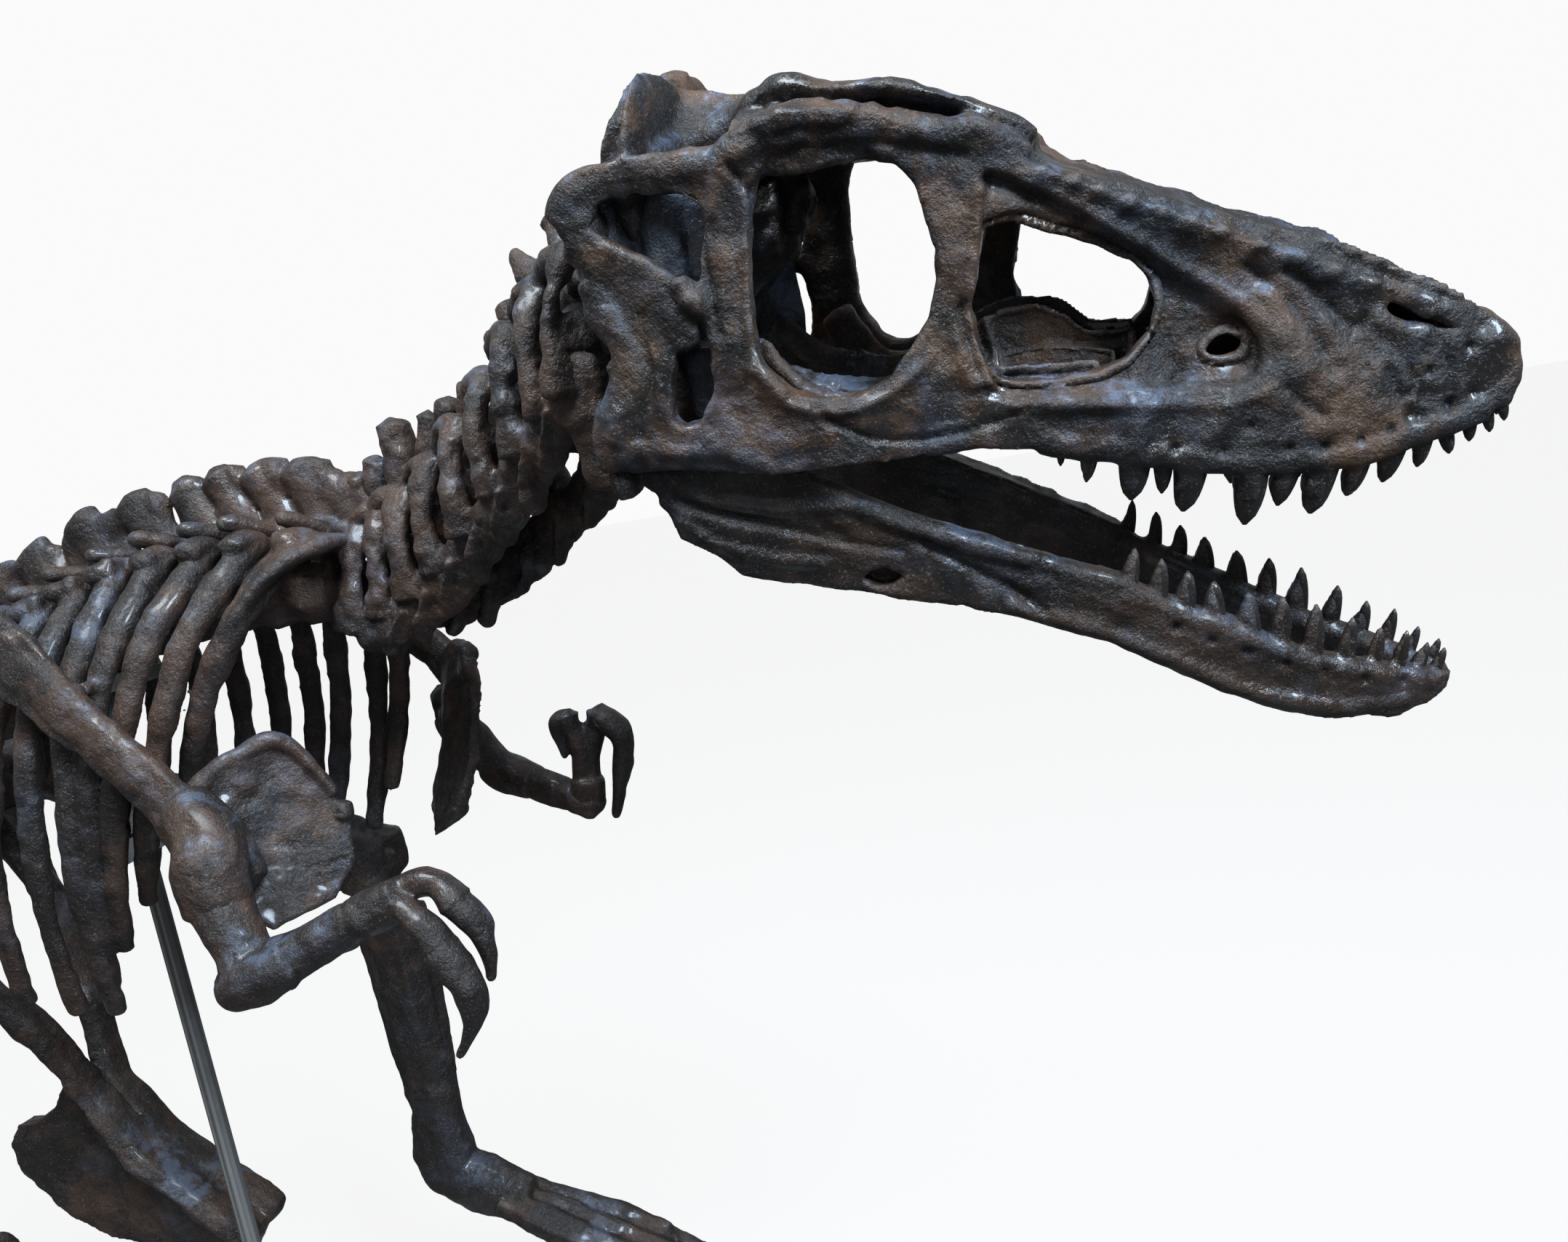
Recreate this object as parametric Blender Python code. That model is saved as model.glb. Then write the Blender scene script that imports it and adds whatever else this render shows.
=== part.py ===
"""Tyrannosaur skeleton on its own steel mount.

Metres, +X towards the snout, +Y to the animal's left, +Z up, floor at z = 0.
Every bone is a closed loft; the lofts of one node are joined by one Boolean.
"""

import math
import random

import bmesh
import bpy
from mathutils import Vector
from mathutils.bvhtree import BVHTree
from mathutils.geometry import delaunay_2d_cdt

# Overall sizes
SKULL_LENGTH = 1.0
GAP = 0.0003
CENTRE_SHIFT = Vector((0.1935, 0.0, 0.1))
NECK_BONES = 10
BACK_BONES = 12
HIP_BONES = 5
TAIL_BONES = (11, 12, 14)

# Skull frame: origin midway between the jaw joints, x to the snout, y left, z up
SKULL_AT = Vector((1.822, -0.265, 1.804))
SKULL_X = Vector((0.993, -0.058, -0.102)).normalized()
SKULL_Y = Vector((0.079, 0.975, 0.207))
SKULL_Y = (SKULL_Y - SKULL_X * SKULL_Y.dot(SKULL_X)).normalized()
SKULL_Z = SKULL_X.cross(SKULL_Y)

# Half widths of the skull along its length: at the tooth row and at the roof's edge
LOW_HALF = ((-.03, .175), (.1, .19), (.22, .195), (.32, .18), (.42, .155), (.52, .135),
            (.62, .118), (.72, .10), (.82, .082), (.90, .064), (.96, .044), (1.0, .02))
TOP_HALF = ((-.03, .165), (.2, .165), (.3, .14), (.42, .135), (.52, .10), (.62, .078),
            (.72, .062), (.82, .052), (.90, .042), (.96, .03), (1.0, .012))
EDGE_HEIGHT = ((-.03, .29), (.1, .295), (.2, .31), (.3, .29), (.44, .27), (.52, .245),
               (.62, .205), (.72, .165), (.82, .125), (.9, .085), (.96, .04), (1.0, -.01))

# Side view of the skull in its own frame, measured off the photograph
SKULL_SIDE = (
    (-.004, -.005), (.028, -.011), (.05, -.012), (.079, -.018), (.146, -.023), (.207, -.028),
    (.256, -.029), (.343, -.025), (.431, -.025), (.51, -.036), (.56, -.047), (.609, -.06),
    (.65, -.073), (.74, -.087), (.797, -.092), (.868, -.079), (.932, -.061), (.981, -.048), (.998, -.014),
    (.992, .012), (.972, .038), (.911, .069), (.818, .112), (.709, .159), (.647, .189),
    (.584, .217), (.523, .247), (.477, .274), (.448, .289), (.402, .305), (.347, .32), (.3, .332),
    (.259, .326), (.217, .311), (.176, .314), (.124, .321), (.08, .324), (.038, .32),
    (.007, .305), (-.009, .27), (.002, .232), (.037, .186), (.046, .125), (.05, .094),
    (.039, .07), (.015, .052), (.0, .025))
ORBIT = (
    (.216, .275), (.235, .292), (.264, .298), (.303, .296), (.344, .286), (.389, .244),
    (.409, .179), (.39, .118), (.342, .063), (.303, .05), (.269, .05), (.238, .062),
    (.201, .101), (.206, .173), (.208, .249))
TEMPORAL = (
    (.025, .258), (.04, .279), (.072, .287), (.139, .278), (.159, .263), (.158, .227),
    (.146, .154), (.152, .112), (.149, .07), (.13, .039), (.105, .031), (.09, .043),
    (.093, .082), (.12, .15), (.126, .179), (.108, .202), (.069, .218), (.039, .236))
ANTORBITAL = (
    (.45, .205), (.481, .21), (.52, .193), (.563, .175), (.598, .152), (.618, .129),
    (.623, .102), (.615, .075), (.595, .051), (.563, .038), (.518, .036), (.477, .042),
    (.451, .056), (.439, .095), (.434, .124), (.443, .163))
MAXILLARY = ((.672, .044), (.68, .055), (.696, .061), (.716, .054), (.708, .04), (.688, .038))
NARIS = ((.853, .071), (.86, .076), (.88, .069), (.899, .056), (.93, .04), (.92, .035),
         (.896, .046), (.877, .049), (.861, .059))
ROOF_CREST = ((.19, .355), (.26, .357), (.34, .348), (.44, .309), (.495, .284), (.536, .256),
              (.585, .236), (.65, .209), (.747, .163), (.81, .131), (.857, .11),
              (.912, .079), (.959, .05), (.99, .015))

# Upper teeth: x, base height, tip x, tip height, width at the gum
UPPER_TEETH = (
    (.52, -.037, .519, -.057, .011), (.553, -.046, .546, -.079, .016),
    (.598, -.056, .594, -.105, .037), (.628, -.065, .627, -.101, .021),
    (.658, -.076, .65, -.125, .039), (.721, -.085, .716, -.148, .04),
    (.76, -.09, .751, -.13, .028), (.795, -.092, .786, -.143, .039),
    (.833, -.091, .824, -.127, .028), (.869, -.082, .861, -.116, .028),
    (.9, -.073, .896, -.103, .021), (.92, -.068, .928, -.092, .018),
    (.946, -.061, .949, -.082, .016), (.964, -.056, .97, -.075, .014),
    (.981, -.049, .986, -.066, .012))

# Lower jaw in the skull's frame, open by about 24 degrees
JAW_HALF = ((0, .15), (.1, .16), (.25, .155), (.4, .14), (.55, .115), (.7, .092),
            (.8, .075), (.9, .045), (.955, .018))
JAW_SIDE = (
    (-.004, -.022), (.018, -.034), (.047, -.051), (.062, -.077), (.073, -.107), (.106, -.127),
    (.14, -.159), (.191, -.173), (.284, -.191), (.366, -.206), (.42, -.221), (.473, -.238),
    (.561, -.275), (.622, -.301), (.666, -.335), (.702, -.352), (.747, -.381), (.818, -.403),
    (.89, -.412), (.927, -.403), (.95, -.389), (.956, -.37), (.906, -.363), (.833, -.338),
    (.763, -.309), (.693, -.272), (.632, -.237), (.58, -.202), (.503, -.165), (.426, -.138),
    (.34, -.101), (.271, -.063), (.235, -.035), (.2, .002), (.14, .008), (.09, .002),
    (.05, -.018), (.02, -.02))
JAW_SLOT = ((.283, -.172), (.297, -.161), (.316, -.16), (.339, -.173), (.322, -.186),
            (.299, -.184))
LOWER_TEETH = (
    (.59, -.212, .597, -.172, .018), (.622, -.228, .626, -.188, .022),
    (.652, -.246, .655, -.206, .024), (.684, -.264, .684, -.222, .026),
    (.724, -.286, .722, -.24, .027), (.757, -.302, .76, -.25, .026),
    (.793, -.32, .797, -.262, .026), (.83, -.334, .838, -.284, .024),
    (.862, -.347, .87, -.302, .021), (.89, -.355, .9, -.31, .019),
    (.915, -.363, .925, -.33, .016), (.937, -.368, .946, -.342, .014))

# Centre line of the backbone from the skull to the tip of the tail
SPINE = tuple(Vector(p) for p in (
    (1.795, -.283, 1.927), (1.74, -.245, 1.905), (1.65, -.18, 1.85), (1.54, -.11, 1.785),
    (1.42, -.05, 1.72), (1.3, -.015, 1.668), (1.17, 0, 1.638), (1.05, 0, 1.652),
    (.8, 0, 1.645), (.5, 0, 1.57), (.25, 0, 1.5), (0, 0, 1.455), (-.3, 0, 1.42),
    (-.8, 0, 1.345), (-1.5, .02, 1.24), (-2.2, .06, 1.16), (-2.9, .13, 1.13), (-3.3, .18, 1.14)))
NECK_END, BACK_END, HIP_END = 1.17, .2, -.2

BONE = (.045, .034, .028, 1)
STEEL = (.16, .145, .125, 1)
UP = Vector((0, 0, 1))
NODES = {}


def between(x, table):
    """Height of the broken line through table at x."""
    if x <= table[0][0]:
        return table[0][1]
    for (xa, ya), (xb, yb) in zip(table, table[1:]):
        if x <= xb:
            return ya + (yb - ya) * (x - xa) / (xb - xa)
    return table[-1][1]


def smooth_line(points, per_span):
    """Points on the rounded curve through the given points."""
    points = [Vector(p) for p in points]
    out = []
    last = len(points) - 1
    for i in range(last):
        p0, p1 = points[max(i - 1, 0)], points[i]
        p2, p3 = points[i + 1], points[min(i + 2, last)]
        for k in range(per_span):
            u = k / per_span
            out.append(0.5 * ((2 * p1) + (p2 - p0) * u + (2 * p0 - 5 * p1 + 4 * p2 - p3) * u * u
                              + (3 * p1 - p0 - 3 * p2 + p3) * u ** 3))
    out.append(points[-1])
    return out


def tube(points, widths, heights=None, sides=6, up=UP, flat=(False, False), ends=(None, None)):
    """A closed loft of ellipses along points; flat ends stay level, others are domed."""
    points = [Vector(p) for p in points]
    count = len(points)
    if not isinstance(widths, (list, tuple)):
        widths = [widths] * count
    if heights is None:
        heights = widths
    if not isinstance(heights, (list, tuple)):
        heights = [heights] * count
    rings, verts = [], []
    for i, p in enumerate(points):
        ahead = (points[min(i + 1, count - 1)] - points[max(i - 1, 0)]).normalized()
        if i == 0 and ends[0]:
            ahead = Vector(ends[0])
        if i == count - 1 and ends[1]:
            ahead = Vector(ends[1])
        side = Vector(up).cross(ahead)
        if side.length < 0.05:
            side = Vector((0, 1, 0)).cross(ahead)
        side.normalize()
        over = ahead.cross(side)
        ring = []
        for k in range(sides):
            a = 2 * math.pi * (k + .5) / sides
            ring.append(len(verts))
            verts.append(p + side * widths[i] * math.cos(a) + over * heights[i] * math.sin(a))
        rings.append(ring)
    faces = []
    for a, b in zip(rings, rings[1:]):
        for k in range(sides):
            n = (k + 1) % sides
            faces.append((a[k], a[n], b[n], b[k]))
    for end, ring, towards in ((0, rings[0], points[0] - points[1]),
                               (1, rings[-1], points[-1] - points[-2])):
        if flat[end]:
            faces.append(tuple(ring))
            continue
        i = 0 if end == 0 else count - 1
        size = min(widths[i], heights[i])
        tip = len(verts)
        verts.append(points[i] + towards.normalized() * size * 0.5)
        for k in range(sides):
            faces.append((ring[k], ring[(k + 1) % sides], tip))
    return verts, faces


def bone(a, b, ends, shaft, sides=6, bend=(0, 0, 0), up=UP):
    """A long bone: wide at both ends, narrow in the shaft."""
    a, b, bend = Vector(a), Vector(b), Vector(bend)
    stops = (0, .07, .2, .5, .8, .93, 1)
    points = [a.lerp(b, u) + bend * math.sin(math.pi * u) for u in stops]
    widths = [ends[0] * .8, ends[0], (ends[0] + shaft) * .5, shaft, (ends[1] + shaft) * .5,
              ends[1], ends[1] * .8]
    return tube(points, widths, [w * .85 for w in widths], sides, up)


def inside(point, loop):
    """True where a flat point lies within a closed loop."""
    found = False
    for (xa, ya), (xb, yb) in zip(loop, loop[1:] + loop[:1]):
        if (ya > point.y) != (yb > point.y):
            if point.x < xa + (xb - xa) * (point.y - ya) / (yb - ya):
                found = not found
    return found


def slab(outline, holes, place, grid=()):
    """A closed plate with openings; place gives its outer and inner point for (x, z)."""
    flat_points, edges = [], []
    for loop in (outline,) + tuple(holes):
        start = len(flat_points)
        flat_points += [Vector(p) for p in loop]
        count = len(loop)
        edges += [(start + k, start + (k + 1) % count) for k in range(count)]
    flat_points += [Vector(p) for p in grid]
    points, _, faces, _, _, _ = delaunay_2d_cdt(flat_points, edges, [], 1, 1e-6)
    faces = [f for f in faces
             if not any(inside(sum((points[i] for i in f), Vector((0, 0))) / len(f), hole)
                        for hole in holes)]
    uses = {}
    for f in faces:
        for k in range(len(f)):
            a, b = f[k], f[(k + 1) % len(f)]
            uses.setdefault((min(a, b), max(a, b)), []).append((a, b))
    used = sorted({i for f in faces for i in f})
    index = {old: new for new, old in enumerate(used)}
    count = len(used)
    outer, inner = [], []
    for i in used:
        o, n = place(points[i].x, points[i].y)
        outer.append(o)
        inner.append(n)
    out = [tuple(index[i] for i in f) for f in faces]
    out += [tuple(count + index[i] for i in reversed(f)) for f in faces]
    for pairs in uses.values():
        if len(pairs) == 1:
            a, b = index[pairs[0][0]], index[pairs[0][1]]
            out.append((b, a, count + a, count + b))
    return outer + inner, out


def tooth(base, tip, width, back, sides=4):
    """A tapering tooth sunk into the gum, its tip curved back."""
    base, tip = Vector(base), Vector(tip)
    along = tip - base
    points = [base - along.normalized() * .018, base + along * .5 - back * .003, tip]
    wide = [width * .62, width * .48, width * .14]
    return tube(points, wide, [w * .75 for w in wide], sides, back)


def claw(points, size, sides=6):
    """A curved claw, deep at its root and pointed at its tip."""
    line = smooth_line(points, 2)
    count = len(line) - 1
    wide = [size * (.75 if i == 0 else 1 - .88 * i / count) for i in range(count + 1)]
    return tube(line, wide, [w * .6 for w in wide], sides, (0, 1, 0))


def build_node(name, pieces, colour, merge=9):
    """Join one node's closed pieces, merge faces within a few degrees, keep one surface."""
    made = []
    helper = bpy.data.collections.new(name + "_pieces")
    bpy.context.scene.collection.children.link(helper)
    for number, (verts, faces) in enumerate(pieces):
        mesh = bpy.data.meshes.new(f"{name}_{number}")
        mesh.from_pydata([v + CENTRE_SHIFT for v in verts], [], faces)
        bm = bmesh.new()
        bm.from_mesh(mesh)
        bmesh.ops.triangulate(bm, faces=bm.faces)
        bmesh.ops.recalc_face_normals(bm, faces=bm.faces)
        bm.to_mesh(mesh)
        bm.free()
        piece = bpy.data.objects.new(mesh.name, mesh)
        if number == 0:
            bpy.context.scene.collection.objects.link(piece)
        else:
            helper.objects.link(piece)
        made.append(piece)
    node = made[0]
    node.name = name
    node.data.name = name
    if len(made) > 1:
        join = node.modifiers.new("join", "BOOLEAN")
        join.operation = "UNION"
        join.solver = "MANIFOLD"
        join.operand_type = "COLLECTION"
        join.collection = helper
        bpy.context.view_layer.objects.active = node
        bpy.ops.object.modifier_apply(modifier=join.name)
    for piece in made[1:]:
        bpy.data.objects.remove(piece)
    bpy.data.collections.remove(helper)
    bm = bmesh.new()
    bm.from_mesh(node.data)
    bmesh.ops.remove_doubles(bm, verts=bm.verts, dist=0.00002)
    bmesh.ops.dissolve_degenerate(bm, edges=bm.edges, dist=0.00002)
    bmesh.ops.dissolve_limit(bm, angle_limit=math.radians(merge), verts=bm.verts, edges=bm.edges)
    bmesh.ops.triangulate(bm, faces=bm.faces)
    keep_largest(bm)
    bm.to_mesh(node.data)
    bm.free()
    paint = bpy.data.materials.new(name + "_paint")
    paint.use_nodes = True
    shader = paint.node_tree.nodes["Principled BSDF"]
    shader.inputs["Base Color"].default_value = colour
    shader.inputs["Roughness"].default_value = 0.45
    node.data.materials.clear()
    node.data.materials.append(paint)
    NODES[name] = node
    print(f"{name}: {len(pieces)} pieces, {len(node.data.polygons)} triangles")
    return node


def box(low, high):
    """A closed block between two corners."""
    verts = [Vector((x, y, z)) for z in (low[2], high[2]) for y in (low[1], high[1])
             for x in (low[0], high[0])]
    return verts, [(0, 2, 3, 1), (4, 5, 7, 6), (0, 1, 5, 4), (2, 6, 7, 3), (0, 4, 6, 2),
                   (1, 3, 7, 5)]


def underside(node, centre, half_long, half_wide):
    """Lowest height of a node's surface over a small patch, found by rays from below."""
    tree = BVHTree.FromPolygons([v.co for v in node.data.vertices],
                                [tuple(f.vertices) for f in node.data.polygons])
    lowest = centre.z
    for i in range(-12, 13):
        for k in range(-12, 13):
            spot = Vector((centre.x + half_long * i / 12, centre.y + half_wide * k / 12, 0))
            hit = tree.ray_cast(spot + CENTRE_SHIFT, UP)[0]
            if hit:
                lowest = min(lowest, hit.z - CENTRE_SHIFT.z)
    return lowest


def keep_largest(bm):
    """Delete every loose island but the one with most faces."""
    left = set(bm.verts)
    islands = []
    while left:
        seed = left.pop()
        island, queue = {seed}, [seed]
        while queue:
            for edge in queue.pop().link_edges:
                for other in edge.verts:
                    if other not in island:
                        island.add(other)
                        left.discard(other)
                        queue.append(other)
        islands.append(island)
    islands.sort(key=len, reverse=True)
    if len(islands) > 1:
        print("  loose islands removed:", [len(i) for i in islands[1:]])
    for island in islands[1:]:
        bmesh.ops.delete(bm, geom=list(island), context="VERTS")


def in_skull(x, y, z):
    """A point of the skull's own frame, in the world."""
    return SKULL_AT + SKULL_X * x + SKULL_Y * y + SKULL_Z * z


def skull_half(x, z):
    """Half width of the skull at a point of its side view."""
    u = (z + .04) / (between(x, EDGE_HEIGHT) + .04)
    u = min(max(u, 0), 1)
    u = u * u * (3 - 2 * u)
    return between(x, LOW_HALF) * (1 - u) + between(x, TOP_HALF) * u


def left_shift(x):
    """How far forward the left wall's bars stand, since the real skull is a little skewed."""
    return .045 * math.exp(-((x - .19) / .1) ** 2) + .026 * math.exp(-((x - .43) / .07) ** 2)


for old in list(bpy.data.objects):
    bpy.data.objects.remove(old)
random.seed(7)

# Skull: two pierced side walls, roof, crest, braincase, palate and teeth
skull = []
for hand in (-1, 1):
    def wall(x, z, hand=hand):
        half = skull_half(x, z)
        deep = .024 if x < .5 else .03
        hollow = .012 if .62 < x < .73 and -.0 < z < .09 else 0
        if hand > 0:
            x += left_shift(x)
        return (in_skull(x, hand * (half - hollow), z),
                in_skull(x, hand * max(half - deep, -.004), z))
    skull.append(slab(SKULL_SIDE, (ORBIT, TEMPORAL, ANTORBITAL, MAXILLARY, NARIS), wall,
                      ((.66, .1), (.7, .09), (.73, .05), (.73, .02), (.66, .01), (.7, .0),
                       (.64, .06), (.8, .02), (.86, .0), (.6, -.01), (.25, .0), (.43, .0),
                       (.77, -.03), (.93, -.0), (.18, .3), (.18, .2), (.18, .1))))
    skull.append(tube([in_skull(x, hand * y, z) for x, y, z in (
        (.012, .155, .11), (.015, .15, .05), (.012, .148, .01), (.012, .148, -.0125))],
        [.022, .022, .026, .026], [.03, .03, .045, .045], 6, SKULL_Y, (False, True),
        (None, -SKULL_Z)))
    skull.append(tube([in_skull(x, hand * y, z) for x, y, z in (
        (.06, .02, .2), (.04, .08, .225), (.02, .15, .26))], .016, .03, 6, SKULL_Z))
    skull.append(tube([in_skull(x, hand * y, z) for x, y, z in (
        (.03, .14, .07), (.16, .1, .05), (.3, .06, .03), (.46, .055, .02), (.62, .06, -.02))],
        [.01, .012, .012, .012, .012], [.05, .035, .02, .035, .03], 6, SKULL_Z))
    skull.append(tube([in_skull(x, hand * y, z) for x, y, z in (
        (.21, .155, .325), (.27, .15, .338), (.33, .135, .33))], [.02, .03, .02], .014, 6, SKULL_Z))
    skull.append(tube([in_skull(x, hand * y, z) for x, y, z in (
        (.4, .12, .3), (.445, .115, .303), (.5, .095, .27))], [.018, .026, .016], .014, 6, SKULL_Z))
roof, roof_faces, row = [], [], 8
for x, top in ROOF_CREST:
    half, edge = between(x, TOP_HALF) - .004, between(x, EDGE_HEIGHT) + .012
    mid = min(top, edge + .05)
    for y, z in ((-half, edge), (-half * .6, mid - .006), (0, mid), (half * .6, mid - .006),
                 (half, edge), (half, edge - .03), (0, mid - .045), (-half, edge - .03)):
        roof.append(in_skull(x, y, z))
for i in range(len(ROOF_CREST) - 1):
    for k in range(row):
        n = (k + 1) % row
        roof_faces.append((i * row + k, i * row + n, (i + 1) * row + n, (i + 1) * row + k))
roof_faces += [tuple(range(row)), tuple(range(len(roof) - row, len(roof)))]
skull.append((roof, roof_faces))
skull.append(tube([in_skull(x, 0, z) for x, z in ((.24, .31), (.17, .325), (.1, .34), (.06, .34))],
                  [.07, .03, .028, .05], [.03, .05, .05, .06], 6, SKULL_Z))
crest = [(-.13, .30), (-.12, .36), (-.085, .395), (-.05, .405), (0, .385), (.05, .41), (.09, .40),
         (.125, .365), (.135, .30), (.1, .26), (0, .25), (-.1, .26)]
skull.append(slab(crest, (), lambda y, z: (in_skull(.105 - abs(y) * .2, y, z),
                                           in_skull(.055 - abs(y) * .2, y, z)), ((0, .33),)))
skull.append(tube([in_skull(x, 0, z) for x, z in ((-.028, .135), (-.005, .138), (.01, .15),
                                                  (.06, .19), (.13, .22), (.19, .245), (.235, .27))],
                  [.026, .03, .04, .06, .055, .045, .02], [.026, .03, .045, .1, .09, .065, .03],
                  8, SKULL_Z, (True, False), (SKULL_X, None)))
skull.append(tube([in_skull(x, 0, z) for x, z in ((.5, -.005), (.62, -.02), (.75, -.035),
                                                  (.87, -.03), (.95, -.02))],
                  [.03, .09, .085, .06, .035], .018, 6, SKULL_Z))
for x, z, tip_x, tip_z, width in UPPER_TEETH:
    for hand in (-1, 1):
        y = hand * (skull_half(x, z) - .017)
        skull.append(tooth(in_skull(x, y, z + .004), in_skull(tip_x, y * .98, tip_z), width,
                           SKULL_X))
build_node("skull", skull, BONE)

# Lower jaw: two pierced rami, joint blocks and teeth
jaw = []
for hand in (-1, 1):
    def ramus(x, z, hand=hand):
        half = between(x, JAW_HALF)
        return in_skull(x, hand * half, z), in_skull(x, hand * max(half - .026, -.004), z)
    jaw.append(slab(JAW_SIDE, (JAW_SLOT,), ramus, ((.15, -.08), (.25, -.12), (.4, -.17),
                                                   (.55, -.23), (.7, -.32), (.83, -.37))))
    jaw.append(tube([in_skull(.012, hand * .148, z) for z in (-.0125 - GAP, -.03, -.05)],
                    [.016, .02, .014], [.04, .04, .03], 6, SKULL_Y, (True, False),
                    (-SKULL_Z, None)))
    for x, z, tip_x, tip_z, width in LOWER_TEETH:
        y = hand * (between(x, JAW_HALF) - .013)
        jaw.append(tooth(in_skull(x, y, z - .004), in_skull(tip_x, y * .96, tip_z), width, SKULL_X))
build_node("lower_jaw", jaw, BONE)


LINE = smooth_line(SPINE, 12)


def spine_at(x):
    """Point and heading of the backbone where it passes x."""
    x = min(x, LINE[0].x)
    for a, b in zip(LINE, LINE[1:]):
        if b.x <= x <= a.x:
            u = (a.x - x) / max(a.x - b.x, 1e-6)
            return a.lerp(b, u), (a - b).normalized()
    return LINE[-1].copy(), (LINE[-2] - LINE[-1]).normalized()


def centra(x_from, x_to, count, wide, high, pinch=.72, sides=8):
    """A row of spool-shaped vertebral bodies with flat ends."""
    points, widths, heights = [], [], []
    for i in range(count * 2 + 1):
        u = i / (count * 2)
        x = x_from + (x_to - x_from) * u
        point, _ = spine_at(x)
        size = pinch if i % 2 else 1
        points.append(point)
        widths.append((wide[0] + (wide[1] - wide[0]) * u) * size)
        heights.append((high[0] + (high[1] - high[0]) * u) * size)
    return tube(points, widths, heights, sides, UP, (True, True),
                ((-1, 0, 0), (-1, 0, 0)))


def vertebra_frame(x):
    """Centre, forward, left and up directions of the vertebra at x."""
    point, ahead = spine_at(x)
    left = UP.cross(ahead).normalized()
    return point, ahead, left, ahead.cross(left)


# Neck: spools, a tall arch with side plates, spines and backward cervical ribs
neck = [centra(1.775, NECK_END, NECK_BONES, (.034, .062), (.034, .062), .84),
        tube([in_skull(x, 0, z) for x, z in ((-.028 - GAP, .135), (-.045, .13), (-.07, .118))],
             [.026, .036, .036], None, 8, SKULL_Z, (True, False), (-SKULL_X, None))]
for i in range(NECK_BONES):
    p, ahead, left, up = vertebra_frame(1.775 + (NECK_END - 1.775) * (i + .5) / NECK_BONES)
    tall = .15 + .05 * math.sin(math.pi * min((i + .5) / NECK_BONES * 1.2, 1)) - .04 * (i == 4)
    lean = -ahead * (.02 if i < NECK_BONES - 1 else -.006)
    neck.append(tube([p, p + up * tall * .6 + lean * .5, p + up * tall + lean],
                     [.028, .024, .018], [.034, .03 - .006 * (i > 8), .022], 4, ahead))
    for hand in (-1, 1):
        out = left * hand
        neck.append(tube([p + up * .115 + out * .01 + ahead * .02, p + up * .045 + out * .085,
                          p - up * .04 + out * .08, p - up * .055 + out * .01],
                         [.018, .024, .022, .016], [.03, .036, .034, .025], 4, ahead,
                         (True, True)))
        back_by = .12 if i < NECK_BONES - 1 else .03
        neck.append(tube([p - up * .045 + out * .07, p - up * .1 + out * .08 - ahead * back_by],
                         [.02, .009], None, 4, out))
build_node("neck", neck, BONE)

# Back: spools, a flat-sided arch and blocky spines that nearly touch
ARCH = .045
back = [centra(NECK_END - GAP, BACK_END, BACK_BONES, (.06, .062), (.062, .068), .78)]
arch_x = [NECK_END - .012 - (NECK_END - BACK_END - .024) * i / 8 for i in range(9)]
back.append(tube([spine_at(x)[0] + Vector((0, 0, .075)) for x in arch_x],
                 ARCH / math.cos(math.pi / 4), .045 / math.cos(math.pi / 4), 4, UP, (True, True)))
step = (NECK_END - BACK_END) / BACK_BONES
for i in range(BACK_BONES):
    p, ahead, left, up = vertebra_frame(NECK_END - step * (i + .5))
    tall = .215 + .008 * math.sin(i * .9) + random.uniform(-.003, .003)
    back.append(tube([p + UP * .06, p + UP * .13, p + UP * (tall - .02), p + UP * tall],
                     [.018, .017, .022, .017], [.034, .036, .041, .036], 5, ahead))
build_node("back", back, BONE, 2)

# Ribs: each side is one cage half, its ribs grown from the row of side processes
RIB_OUT = (.22, .25, .265, .27, .275, .27, .26, .245, .225, .2, .17)
RIB_DROP = {"ribs_right": (.36, .53, .6, .66, .7, .68, .64, .58, .5, .38, .24),
            "ribs_left": (.48, .57, .6, .64, .66, .66, .64, .58, .5, .38, .24)}
RIB_BACK = {"ribs_right": (.24, .26, .24, .2, .12, .12, .15, .18, .17, .12, .06),
            "ribs_left": (.12, .11, .14, .12, .13, .14, .15, .18, .17, .12, .06)}
BOSS, BOSS_OUT = {}, .279
for name, hand in (("ribs_right", -1), ("ribs_left", 1)):
    ribs = []
    out = Vector((0, hand, 0))
    ledge = [spine_at(x)[0] + out * (ARCH + GAP + .014) + UP * .078 for x in arch_x]
    ribs.append(tube(ledge, .014 / math.cos(math.pi / 4), .03, 4, UP, (True, True)))
    for i in range(BACK_BONES - 1):
        p, ahead, left, up = vertebra_frame(NECK_END - step * (i + .5))
        wide, fall, back_by = RIB_OUT[i] - ARCH - .018, RIB_DROP[name][i], RIB_BACK[name][i]
        root = p + out * (ARCH + .018) + UP * .078
        ribs.append(tube([root, p + out * (ARCH + .09) + UP * .1], [.014, .012], [.026, .02], 4))
        way = Vector((-back_by, 0, -fall))
        curve = [root + out * .02 - UP * .02, root + out * wide * .5 + way * .06,
                 root + out * wide * .88 + way * .24, root + out * wide + way * .52,
                 root + out * wide * .93 + way * .8, root + out * wide * .78 + way]
        big = .023 if i < 8 else .017
        ribs.append(tube(curve, [big * .9, big * 1.25, big * 1.15, big, big * .85, big * .6],
                         [big * .55] * 5 + [big * .4], 5, out))
        if i == 3:
            boss = curve[2].copy()
            boss.y = hand * BOSS_OUT
            BOSS[name[5:]] = boss
            ribs.append(tube([curve[2], boss], .013, None, 6, UP, (True, True)))
    build_node(name, ribs, BONE, 2)

HIP_OUT, HIP_Z = .187, 1.35

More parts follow.
